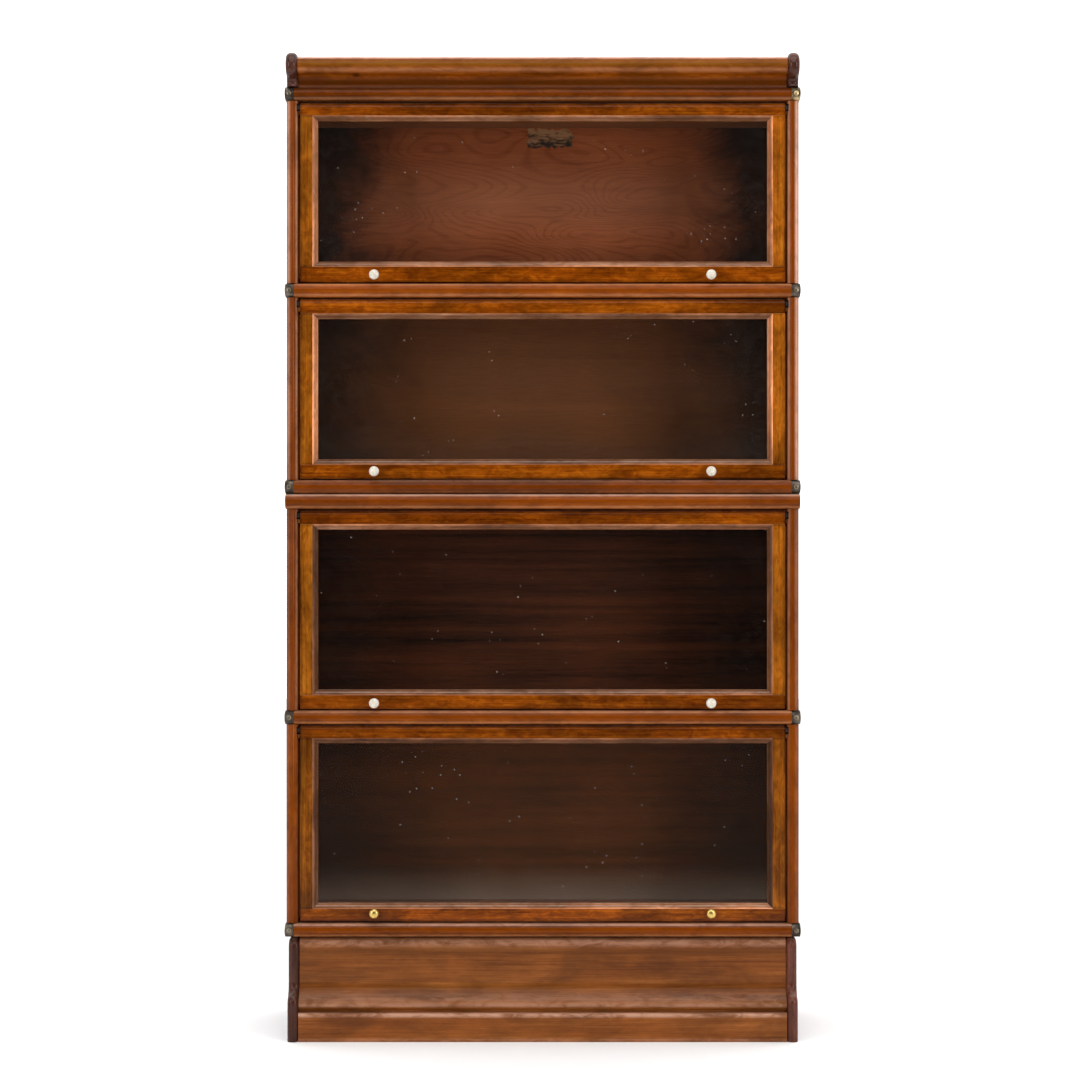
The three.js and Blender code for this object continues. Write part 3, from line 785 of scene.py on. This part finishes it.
def modelSide(section, low, high, inner):  # the right one, and its runner
    pivot, look = pivotOf(section), sideLook
    rebateStart, grooveStart = high[1] - look["panel"], pivot.y - look["grooveLead"]
    half = look["grooveHeight"] / 2
    panel = addBlock(section + "_side_right_shaped", (inner, low[1], low[2]), high)
    roundEdges(panel, longEdges(2, (1, low[1])), look["thickness"] / 2 - roundGap, look["roundSegments"])
    corner = (inner - overrun, rebateStart, low[2] - overrun)
    carve(panel, addBlock("rebate", corner, (inner + look["rebate"], high[1] + overrun, high[2] + overrun)))
    corner = (inner - overrun, grooveStart, pivot.z - half)
    carve(panel, addBlock("groove", corner, (inner + look["grooveDepth"], high[1] + overrun, pivot.z + half)))
    corner = (low[0], grooveStart, pivot.z - half - look["railHeight"])
    rail = addBlock(section + "_runner_right", corner, (inner, rebateStart, pivot.z - half))
    return softenEdges(panel, look["edge"]), softenEdges(rail, look["edge"])


def buildSides(section, seed, light, outer, inward, deep, coat):
    low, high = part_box(section + "_side_right")
    inner = high[0] - sideLook["thickness"]
    # painted highlights on the shoulders, brighter on the right-hand posts
    outerTones = {"left": "pale", "right": "bright"}
    panel, rail = modelSide(section, low, high, inner)
    pieces = {"right": (panel, rail)}
    pieces["left"] = mirrorOf(panel, section + "_side_left_shaped"), mirrorOf(rail, section + "_runner_left")
    for i, (hand, (side, runner)) in enumerate(pieces.items()):
        # painted shade down the middle of the rounded front and painted highlights on its shoulders
        bands = [
            (inner + 4.5 * mm, inner + 8.7 * mm, inner + 14.5 * mm, deep, "deep"),
            (high[0] - 8.8 * mm, high[0] - 4.2 * mm, high[0] + mm, outer, outerTones[hand]),
            (inner + 5.2 * mm, inner + 2.9 * mm, inner, inward, "pale"),
        ]
        worn = [(0, *(hands[hand] * at for at in places), amount, bandTone) for *places, amount, bandTone in bands]
        node = f"{section}_side_{hand}"
        woodwork(side, node, "orange", "z", seed + i, "case", node, light=light, coat=coat, worn=worn,
                 contrast=0.6)
        woodwork(runner, runner.name, "brown", "y", seed + i + 4, "case", light=0.5)


sides = {  # how light, how strong the painted highlight on the outer and the inner shoulder, how strong the painted shade between them, and how much varnish
    "section_1": (1.05, 0.72, 0.65, 0.95, 0.22),
    "section_2": (1.00, 0.50, 0.55, 0.90, 0.22),
    "section_3": (0.90, 0.14, 0.35, 0.70, 0.20),
    "section_4": (0.95, 0.06, 0.08, 0.50, 0.20),
}
for seed, (section, wear) in enumerate(sides.items()):
    buildSides(section, 51 + 3 * seed, *wear)
print("sides done")


# Doors: two rails across the full width, two stiles between them, a mitred moulding and a glazing bead
doorLook = {
    "stileWidth": 29.6 * mm,  # moulding included
    "mouldingWidth": 9 * mm,
    "mouldingDrop": 5.5 * mm,
    "quirk": 0.8 * mm,
    "lip": 1.8 * mm,
    "lipThickness": 3.3 * mm,
    "backingLap": 2 * mm,
    "rebateAt": 27 * mm,  # from the edge of the door to the wall of the glass rebate
    "stripThickness": 2.4 * mm,
    "tongueThickness": 10 * mm,
    "tongueStart": 18.5 * mm,
    "tongueFoot": 6 * mm,
    "joint": 0.12 * mm,  # open seam between the parts of the frame
    "roundSegments": 12,
    "curveSteps": 6,
    "edge": 0.7 * mm,
    "beadEdge": 0.4 * mm,
}
doors = {  # widths of the top and bottom rail with their moulding, and how light the parts are; the mouldings' lightness by side is painted light and shade
    "section_1": {"rails": (31.5 * mm, 35 * mm), "railLights": (1.0, 1.15), "stileLights": (0.97, 1.3),
                  "mouldingLights": (0.55, 0.75, 1.15, 1.15)},
    "section_2": {"rails": (34.3 * mm, 32.5 * mm), "railLights": (1.02, 0.95), "stileLights": (0.97, 1.15),
                  "mouldingLights": (0.55, 0.45, 1.40, 1.20)},
    "section_3": {"rails": (33 * mm, 32 * mm), "railLights": (1.0, 0.95), "stileLights": (0.95, 1.1),
                  "mouldingLights": (0.66, 0.58, 0.28, 0.36)},
    "section_4": {"rails": (31 * mm, 30 * mm), "railLights": (0.92, 1.1), "stileLights": (0.70, 1.08),
                  "mouldingLights": (0.42, 0.95, 0.31, 0.20)},
}
# rim under 1: painted shade along the rims of rails and stiles, under the boards and into the corners
frameFinish = {"rim": 0.55, "coat": 0.25, "curlShare": 0.34, "curlScale": 1.2, "bandShare": 0.2,
               "contrast": 1.2, "mottle": 0.46}
# rim over 1: a painted highlight along the moulding's outer edge, fading darker towards the glass
mouldingFinish = {"rim": 2.5, "edgeReach": 3.2 * mm, "coat": 0.25}


def mouldingMoves():  # from the lip's edge at the glass out to the face of the frame; depth grows to the back
    look = doorLook
    drop, lip, start = look["mouldingDrop"], look["lip"], look["quirk"]
    wide = look["mouldingWidth"] - lip
    hollow, shoulder = 0.30 * wide, 0.70 * wide
    depth = drop - start
    hollowDepth = 0.34 * depth
    moves = [(0, drop + look["lipThickness"]), (0, drop), (lip, drop)]
    steps = look["curveSteps"]
    for i in range(1, steps + 1):  # quarter of an ellipse for the hollow
        angle = math.pi / 2 * i / steps
        moves.append((lip + hollow * math.sin(angle), drop - hollowDepth * (1 - math.cos(angle))))
    for i in range(1, steps + 3):  # and a larger one for the shoulder
        angle = math.pi / 2 * i / (steps + 2)
        moves.append((lip + hollow + shoulder * (1 - math.cos(angle)),
                      drop - hollowDepth - (depth - hollowDepth) * math.sin(angle)))
    moves += [(lip + wide, start), (lip + wide, drop + look["lipThickness"])]
    return moves


def modelMoulding(name, opening, face, side):
    # side is the side of the opening that it lies on; it is drawn too long and mitred at both ends
    left, right, foot, head = opening
    look = doorLook
    wide = look["mouldingWidth"]
    if side in ("top", "bottom"):
        out = up if side == "top" else -up
        start = Vector((left - wide, face, head if side == "top" else foot))
        run, length = across, right - left + 2 * wide
    else:
        out = across if side == "right" else -across
        start = Vector((right if side == "right" else left, face, foot - wide))
        run, length = up, head - foot + 2 * wide
    strip = sweep(name, mouldingMoves(), start, out, back, run * length)
    inner = {
        "top": [(left, head), (right, head)],
        "bottom": [(left, foot), (right, foot)],
        "left": [(left, foot), (left, head)],
        "right": [(right, foot), (right, head)],
    }[side]
    gap = look["joint"] / 2
    for (x, z), end in zip(inner, (-1, 1)):
        normal = (run * end - out).normalized()
        sliceOff(strip, Vector((x, face, z)) - normal * gap, normal)
    return softenEdges(strip, 0.25 * mm, 1, 50)


def buildFrame(section, body, seed, half, flat, ringFoot, ringHead):  # with tongues behind the moulding
    (_, face, foot), (_, rear, head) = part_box(section + "_door_frame")
    look, rebate, gap = doorLook, doorLook["rebateAt"], doorLook["joint"]
    backing = face + look["mouldingDrop"] + look["lipThickness"] - look["backingLap"]
    pieces = []
    for name, edge, inner, reach in (
        ("top_rail", head, ringHead, head - rebate),
        ("bottom_rail", foot, ringFoot, foot + rebate),
    ):
        rail = addBlock(f"{section}_{name}", (-half, face, edge), (half, rear, inner))
        carve(rail, addBlock("backing", (flat - half, backing, inner), (half - flat, rear, reach)), "UNION")
        if name == "top_rail":
            roundEdges(rail, longEdges(0, (2, head)), (rear - face) / 2 - roundGap, look["roundSegments"])
        pieces.append((rail, "x"))
    for hand, side in hands.items():
        inner, reach = side * (half - flat), side * (half - rebate)
        corner, opposite = (side * half, face, ringFoot + gap), (inner, rear, ringHead - gap)
        stile = addBlock(f"{section}_stile_{hand}", corner, opposite)
        corner, opposite = (inner, backing, foot + rebate + gap), (reach, rear, head - rebate - gap)
        pieces.append((carve(stile, addBlock("backing", corner, opposite), "UNION"), "z"))
    lights = doors[section]["railLights"] + doors[section]["stileLights"]
    for i, (piece, grain) in enumerate(pieces):
        softenEdges(piece, look["edge"])
        woodwork(piece, piece.name, "orange" if grain == "x" else "amber", grain, seed + i, body,
                 section + "_door_frame", light=lights[i], box=boxOf(piece), **frameFinish)


def buildDoor(section, seed):
    look, door, body = doorLook, doors[section], "door_" + section[-1]
    low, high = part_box(section + "_door_frame")
    pivot, thick = pivotOf(section), look["tongueThickness"] / 2
    half = high[0] - look["stripThickness"]  # without the strips on the edges
    moulding, hidden = look["mouldingWidth"], look["beadEdge"]
    flat = look["stileWidth"] - moulding
    topFlat, bottomFlat = (width - moulding for width in door["rails"])
    ringLow, ringHigh = (flat - half, low[1], low[2] + bottomFlat), (half - flat, high[1], high[2] - topFlat)
    buildFrame(section, body, seed, half, flat, ringLow[2], ringHigh[2])
    for hand, side in hands.items():
        corner = (side * half, pivot.y - thick, low[2] + look["tongueFoot"])
        opposite = (side * high[0], pivot.y + thick, pivot.z - look["tongueStart"])
        strip = softenEdges(addBlock(f"{section}_edge_strip_{hand}", corner, opposite), look["edge"])
        woodwork(strip, strip.name, "brown", "z", seed + 8, body, light=0.45)
    left, right = ringLow[0] + moulding, ringHigh[0] - moulding
    bottom, top = ringLow[2] + moulding, ringHigh[2] - moulding
    for i, side in enumerate(("top", "bottom", "left", "right")):
        strip = modelMoulding(f"{section}_moulding_{side}", (left, right, bottom, top), low[1], side)
        # the mouldings' pale tone and their lights by side paint their sheen as well as wear
        woodwork(strip, strip.name, "rubbed", "xxzz"[i], seed + i + 10, body, light=door["mouldingLights"][i],
                 box=(ringLow, ringHigh), dust=0.5 if side == "bottom" else 0.0, **mouldingFinish)
    beadLow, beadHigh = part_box(section + "_glazing_bead")
    bead = addBlock(section + "_glazing_bead_shaped", beadLow, beadHigh)
    corner = (left - hidden, beadLow[1] - overrun, bottom - hidden)  # just behind the moulding
    carve(bead, addBlock("opening", corner, (right + hidden, beadHigh[1] + overrun, top + hidden)))
    softenEdges(bead, look["beadEdge"])
    woodwork(bead, section + "_bead", "brown", "x", seed + 20, body, section + "_glazing_bead")


for seed, section in enumerate(sections):
    buildDoor(section, 71 + 9 * seed)
print("doors done")


# Knobs: turned on a narrow neck, ivory porcelain on three doors and brass on the lowest
knobLook = {"radius": 8.5 * mm, "reach": 20 * mm, "steps": 40}
knobShares = [
    (0, 0), (0.56, 0), (0.56, 0.06), (0.47, 0.10), (0.40, 0.17), (0.37, 0.27), (0.40, 0.36), (0.56, 0.45),
    (0.80, 0.52), (0.94, 0.60), (1.00, 0.70), (0.98, 0.79), (0.88, 0.88), (0.68, 0.95), (0.38, 0.99), (0, 1),
]
knobBrass, brassTarnish = (0.72, 0.50, 0.15), (0.10, 0.06, 0.02)


def modelKnob(name):
    knob = startPoint()
    for (r0, y0), (r1, y1) in zip(knobShares, knobShares[1:]):
        move = ((r1 - r0) * knobLook["radius"], -(y1 - y0) * knobLook["reach"], 0)
        bpy.ops.mesh.extrude_region_move(TRANSFORM_OT_translate={"value": move})
    bpy.ops.mesh.select_all(action="SELECT")
    bpy.ops.mesh.spin(steps=knobLook["steps"], angle=2 * math.pi, center=(0, 0, 0), axis=back)
    bpy.ops.mesh.select_all(action="SELECT")
    bpy.ops.mesh.remove_doubles(threshold=0.01 * mm)
    closeFacingOut()
    settle(knob, name)
    bpy.ops.object.shade_smooth_by_angle(angle=math.radians(50))
    return knob


knob = modelKnob("knob_pattern")
for seed, section in enumerate(sections):
    for hand in hands:
        low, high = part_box(f"{section}_knob_{hand}")
        centre = Vector(((low[0] + high[0]) / 2, high[1], (low[2] + high[2]) / 2))
        piece = copyOf(knob, f"{section}_knob_{hand}_turned", centre)
        if section == "section_4":
            slot = "brass"
            finish = agedMetal(piece.name + "_brass", seed, knobBrass, brassTarnish, 0.34, 0.32)
        else:
            slot = "porcelain"
            finish = ivoryPorcelain(piece.name + "_ivory", seed + 3)
        dress(piece, finish, "door_" + section[-1], slot, f"{section}_knob_{hand}")
bpy.data.objects.remove(knob)
print("knobs done")


# Cornice and base: double curves, a round nose that turns into a hollow
ogeeSteps = 14
endSpare = 12 * mm  # an end piece is drawn this much too long at its back and foot
corniceLook = {
    "projection": 24 * mm,
    "noseRadius": 14 * mm,
    "coveRadius": 16 * mm,
    "backThickness": 20 * mm,
    "topThickness": 15 * mm,
    "edge": 0.5 * mm,
    "finish": {"light": 0.9, "contrast": 0.75, "coat": 0.16, "dust": 0.05},
    "knots": [(-312 * mm, 1615 * mm, 3 * mm)],
    "worn": [  # painted shade in the hollow under the nose, an olive tone on its front, a painted reflection below its middle and a painted glare on its upper edge: start, peak and end in mm over the foot, strength and tone
        (-6, 7, 17, 0.75, "shadeAndKnot"),
        (27, 35, 44, 0.7, "olive"),
        (19, 25, 31.5, 0.42, "tan"),
        (41.5, 47, 50, 0.85, "bright"),
    ],
    "endProud": 7 * mm,
    "endEdge": 8 * mm,
    "endCoat": 0.5,
    "endLights": {"right": 1.0, "left": 1.0},
}
baseLook = {
    "projection": 21 * mm,
    "noseRadius": 12 * mm,
    "coveRadius": 28 * mm,
    "noseLift": 1 * mm,
    "topRadius": 12 * mm,
    "thickness": 20 * mm,
    "plinthEdge": 3 * mm,
    "edge": 0.5 * mm,
    "finish": {"bandShare": 0.30, "streakShare": 0.26, "fibreShare": 0.30, "curlShare": 0.14, "mottle": 0.3,
               "coat": 0.3, "coatRoughness": 0.3, "patch": (0.25, 1.5)},
    "frontLight": 0.88,
    # painted highlights on the nose and on the round upper edge, with some scuffing, and painted shade below
    # the upper edge and above the nose
    "frontSheenAndShade": [
        (7, 11.5, 19, 0.34, "pale"),
        (10, 18, 34, 0.16, "pale"),
        (102, 114, 122, 0.36, "pale"),
        (88, 98, 107, 0.30, "shadeAndKnot"),
        (32, 39, 47, 0.10, "shadeAndKnot"),
    ],
    "plinthLight": 1.08,
    # painted highlights along the plinth's rounded top edge and along its foot
    "plinthSheenAndShade": [(38.5, 45.2, 50, 0.75, "pale"), (-2, 3, 8, 0.2, "pale")],
    "endProud": 6 * mm,
    "endEdge": 8 * mm,
    "endCoat": 0.4,
    # the right end is painted lighter and the left darker, for how the light falls on them
    "endLights": {"right": 1.6, "left": 0.62},
}


def ogeeAngles(look):
    noseReach = look["projection"] - look["noseRadius"]
    apart = look["noseRadius"] + look["coveRadius"]
    sideways = look["coveRadius"] - noseReach
    along = math.sqrt(apart ** 2 - sideways ** 2)
    return noseReach, along, math.degrees(math.atan2(along, sideways))


def crownCurve(look, height, proud):  # down the nose and the hollow to the foot; places are (forward, up)
    noseReach, along, turn = ogeeAngles(look)
    centre = height - look["noseRadius"]
    return [
        (noseReach, height + proud),
        (noseReach, centre, -(90 + turn), ogeeSteps),
        (look["coveRadius"], centre - along, 180 - turn, ogeeSteps),
    ]


def baseCurve(look, top, opening, proud):  # from an angle of the nose up to the round upper edge
    noseReach, along, turn = ogeeAngles(look)
    centre, angle = look["noseRadius"] + look["noseLift"], math.radians(opening)
    radius, topRadius = look["noseRadius"] + proud, look["topRadius"] + proud
    return [
        (noseReach + radius * math.cos(angle), centre + radius * math.sin(angle)),
        (noseReach, centre, turn - opening, ogeeSteps),
        (look["coveRadius"], centre + along, -turn, ogeeSteps),
        (proud, top - topRadius),
        (-look["topRadius"], top - topRadius, 90, ogeeSteps),
    ]


def runAcross(name, moves, low, high, foot, seam):  # an outline in side view, drawn over the piece's width
    return sweep(name, moves, Vector((low[0], foot, seam)), -back, up, across * (high[0] - low[0]))


def wornOver(foot, bands):
    return [(2, *(foot + at * mm for at in places), amount, bandTone) for *places, amount, bandTone in bands]


def buildEnds(prefix, look, moves, foot, seam, grain, seed):
    low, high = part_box(prefix + "_end_right")

    def onOutline(middle, run):  # on both faces, apart from the straight back and foot
        onFace = near(middle.x, low[0]) or near(middle.x, high[0])
        straight = near(middle.y, high[1] + endSpare) or near(middle.z, low[2] - endSpare)
        return onFace and abs(run.x) < 0.01 * mm and not straight

    end = runAcross(prefix + "_end_right_shaped", moves, low, high, foot, seam)
    roundEdges(end, onOutline, look["endEdge"] - 0.05 * mm, 6)
    sliceOff(end, (0, high[1], 0), back)
    sliceOff(end, (0, 0, low[2]), -up)
    softenEdges(end, 0.4 * mm)
    twin = mirrorOf(end, prefix + "_end_left_shaped")
    for i, (hand, piece) in enumerate({"right": end, "left": twin}.items()):
        woodwork(piece, piece.name, "dark", grain, seed + i, "case", f"{prefix}_end_{hand}",
                 slot="dark_mahogany", coat=look["endCoat"], light=look["endLights"][hand])


def buildCornice():
    look = corniceLook
    low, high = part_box("cornice_top")
    height, foot = high[2] - low[2], low[1] + look["projection"]
    depth, behind, shelf = high[1] - foot, -look["backThickness"], height - look["topThickness"]
    moves = [(-depth, shelf), (-depth, height), *crownCurve(look, height, 0)]
    moves += [(0, 0), (behind, 0), (behind, shelf)]
    crown = runAcross("cornice_top_shaped", moves, low, high, foot, low[2])
    softenEdges(crown, look["edge"])
    worn = wornOver(low[2], look["worn"])
    woodwork(crown, "cornice_top", "orange", "x", 112, "case", "cornice_top", worn=worn,
             knots=look["knots"], **look["finish"])
    low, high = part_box("cornice_end_right")
    proud = look["endProud"]
    height, foot = high[2] - low[2] - proud, low[1] + look["projection"] + proud
    rear = foot - high[1] - endSpare
    moves = [(rear, height + proud), *crownCurve(look, height, proud), (proud, -endSpare), (rear, -endSpare)]
    buildEnds("cornice", look, moves, foot, low[2], "y", 115)


def buildBase():
    look = baseLook
    low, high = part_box("base_front")
    foot, top, seam = low[1] + look["projection"], high[2] - low[2], low[2]
    curve = baseCurve(look, top, -60, 0)
    moves = [(-look["thickness"], 0), (curve[0][0], 0), *curve, (-look["thickness"], top)]
    front = runAcross("base_front_shaped", moves, low, high, foot, seam)
    low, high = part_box("base_plinth_strip")
    plinth = addBlock("base_plinth_strip_shaped", low, high)
    roundEdges(plinth, longEdges(0, (1, low[1]), (2, high[2])), look["plinthEdge"], 6)
    for piece, part, name, seed, start in (
        (front, "front", "base_front", 121, seam),
        (plinth, "plinth", "base_plinth_strip", 123, 0),
    ):
        softenEdges(piece, look["edge"])
        worn = wornOver(start, look[part + "SheenAndShade"])
        woodwork(piece, name, "brown", "x", seed, "case", name, slot="brown_mahogany", worn=worn,
                 light=look[part + "Light"], **look["finish"])
    low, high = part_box("base_end_right")
    rear, top, bottom = foot - high[1] - endSpare, high[2] - seam, low[2] - seam - endSpare
    curve = baseCurve(look, top, 0, look["endProud"])
    moves = [(rear, bottom), (look["projection"] + look["endProud"], bottom), *curve, (rear, top)]
    buildEnds("base", look, moves, foot, seam, "z", 125)


buildCornice()
buildBase()
print("cornice and base done")


# Torn blank remnant of a paper label on the top section's back panel
labelLook = {
    "low": (-29 * mm, 1536.5 * mm),
    "high": (57 * mm, 1572.6 * mm),
    "cell": 0.9 * mm,
    "thickness": 0.18 * mm,
    "lift": 0.2 * mm,  # how far it stands off the panel
    "tear": 2.4 * mm,
    "raggedness": 5 * mm,
}


def buildLabel():
    (x0, z0), (x1, z1) = labelLook["low"], labelLook["high"]
    panelLow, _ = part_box("section_1_back_panel")
    middle = ((x0 + x1) / 2, panelLow[1] - labelLook["lift"], (z0 + z1) / 2)
    columns, rows = int((x1 - x0) / labelLook["cell"]), int((z1 - z0) / labelLook["cell"])
    deselectAll()
    bpy.ops.mesh.primitive_grid_add(x_subdivisions=columns, y_subdivisions=rows, size=1, location=middle,
                                    rotation=(math.pi / 2, 0, 0))
    label = bpy.context.object
    label.scale = (x1 - x0, z1 - z0, 1)
    settle(label, "torn_paper_label")

    def torn(face):
        at = face.calc_center_median()
        edge = min(at.x - x0, x1 - at.x, at.z - z0, z1 - at.z)
        return edge + noise.fractal(at * 130, 1.0, 2.2, 4) * labelLook["raggedness"] < labelLook["tear"]

    pick(label, "FACE", torn)
    bpy.ops.mesh.delete(type="FACE")
    closeMesh()
    modify(label, "SOLIDIFY", thickness=labelLook["thickness"], offset=0)
    dress(label, agedPaper("old_paper"), "case", "panel_wood")


buildLabel()


# CAD nodes that keep their shape
# the carriages' steel is made nearly black, painted shade where they show in the gaps beside the doors
carriageSteelDarkAsShade = {"bare": (0.018, 0.016, 0.014), "film": (0.009, 0.008, 0.007), "coverage": 0.5,
                 "roughness": 0.6, "metallic": 0.2}
for seed, section in enumerate(sections):
    panel, pane, carriage = section + "_back_panel", section + "_door_glass", section + "_door_carriage"
    veneer = backVeneer(section + "_back_veneer", 131 + seed, panelTones[section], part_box(panel))
    glass = windowGlass(section + "_glass_finish", 141 + seed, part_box(pane), glassLook[section])
    steel = agedMetal(section + "_carriage_steel", 161 + seed, **carriageSteelDarkAsShade)
    for node, finish in ((panel, veneer), (pane, glass), (carriage, steel)):
        cover(frame["nodes"][node], finish)
cover(frame["nodes"]["base_back_rail"], mahogany("base_back_rail_wood", "brown", "x", 171))
print("kept nodes dressed")


# Studio: a pale floor painted darker in front, a surround that is dark in front and white behind, and four
# soft lights
studio = {
    "camera": (-0.0044, -4.335, 0.837),
    "sensor": 36.0,
    "lens": 83.67,
    "clip": 60,
    "glow": [(-0.85, 0.02), (-0.08, 0.75), (0.15, 1.65)],  # surround, from front to back
    "floorRadius": 9,
    "floorFade": (-2.6, -0.7, 0.25, 0.97),  # painted falloff of light: the floor's colour darkens in front
    "lights": {  # place, aim, width, height, power
        "left_softbox": ((-2.6, -3.0, 1.7), (0, 0, 0.9), 1.2, 2.2, 46),
        "right_softbox": ((2.6, -3.0, 1.7), (0, 0, 0.9), 1.2, 2.2, 54),
        "front_softbox": ((0, -3.1, 3.6), (0, 0, 0.9), 2.8, 1.5, 40),
        "overhead_softbox": ((0, -0.9, 3.2), (0, 0, 1.2), 2.6, 1.0, 22),
    },
}


def buildFloor():
    deselectAll()
    bpy.ops.mesh.primitive_circle_add(vertices=96, radius=studio["floorRadius"], fill_type="NGON",
                                      location=(0, 0, -0.2 * mm))
    floor = settle(bpy.context.object, "floor")
    material = startNodes(bpy.data.materials.new("floor_with_painted_falloff"))
    tint = grey(between(axesOf(objectPlace())[1], *studio["floorFade"]))
    paintWith({"Base Color": tint, "Roughness": 0.75})
    floor.data.materials.append(material)


def buildSurround():
    bpy.context.scene.world = startNodes(bpy.data.worlds.new("soft_surround"))
    parts = axesOf(add("TexCoord", {}).outputs["Generated"])
    level = studio["glow"][0][1]
    for (start, dim), (stop, bright) in zip(studio["glow"], studio["glow"][1:]):
        level = calc("ADD", level, between(parts[1], start, stop, 0.0, bright - dim))
    background = add("Background", {"Color": grey(level), "Strength": 1.0}).outputs[0]
    add("OutputWorld", {"Surface": background})


def buildLights():
    for name, (place, aim, width, height, power) in studio["lights"].items():
        data = bpy.data.lights.new(name, "AREA")
        data.shape, data.size, data.size_y, data.energy = "RECTANGLE", width, height, power
        light = bpy.data.objects.new(name, data)
        light.location = place
        light.rotation_euler = (Vector(aim) - Vector(place)).to_track_quat("-Z", "Y").to_euler()
        bpy.context.collection.objects.link(light)


def buildCamera():
    data = bpy.data.cameras.new("camera")
    data.sensor_width, data.lens, data.clip_end = studio["sensor"], studio["lens"], studio["clip"]
    camera = bpy.data.objects.new("camera", data)
    camera.location, camera.rotation_euler = studio["camera"], (math.pi / 2, 0, 0)
    bpy.context.collection.objects.link(camera)
    scene = bpy.context.scene
    scene.camera = camera
    scene.view_settings.view_transform, scene.view_settings.look = "Standard", "None"


buildFloor()
buildSurround()
buildLights()
buildCamera()
print("studio done")
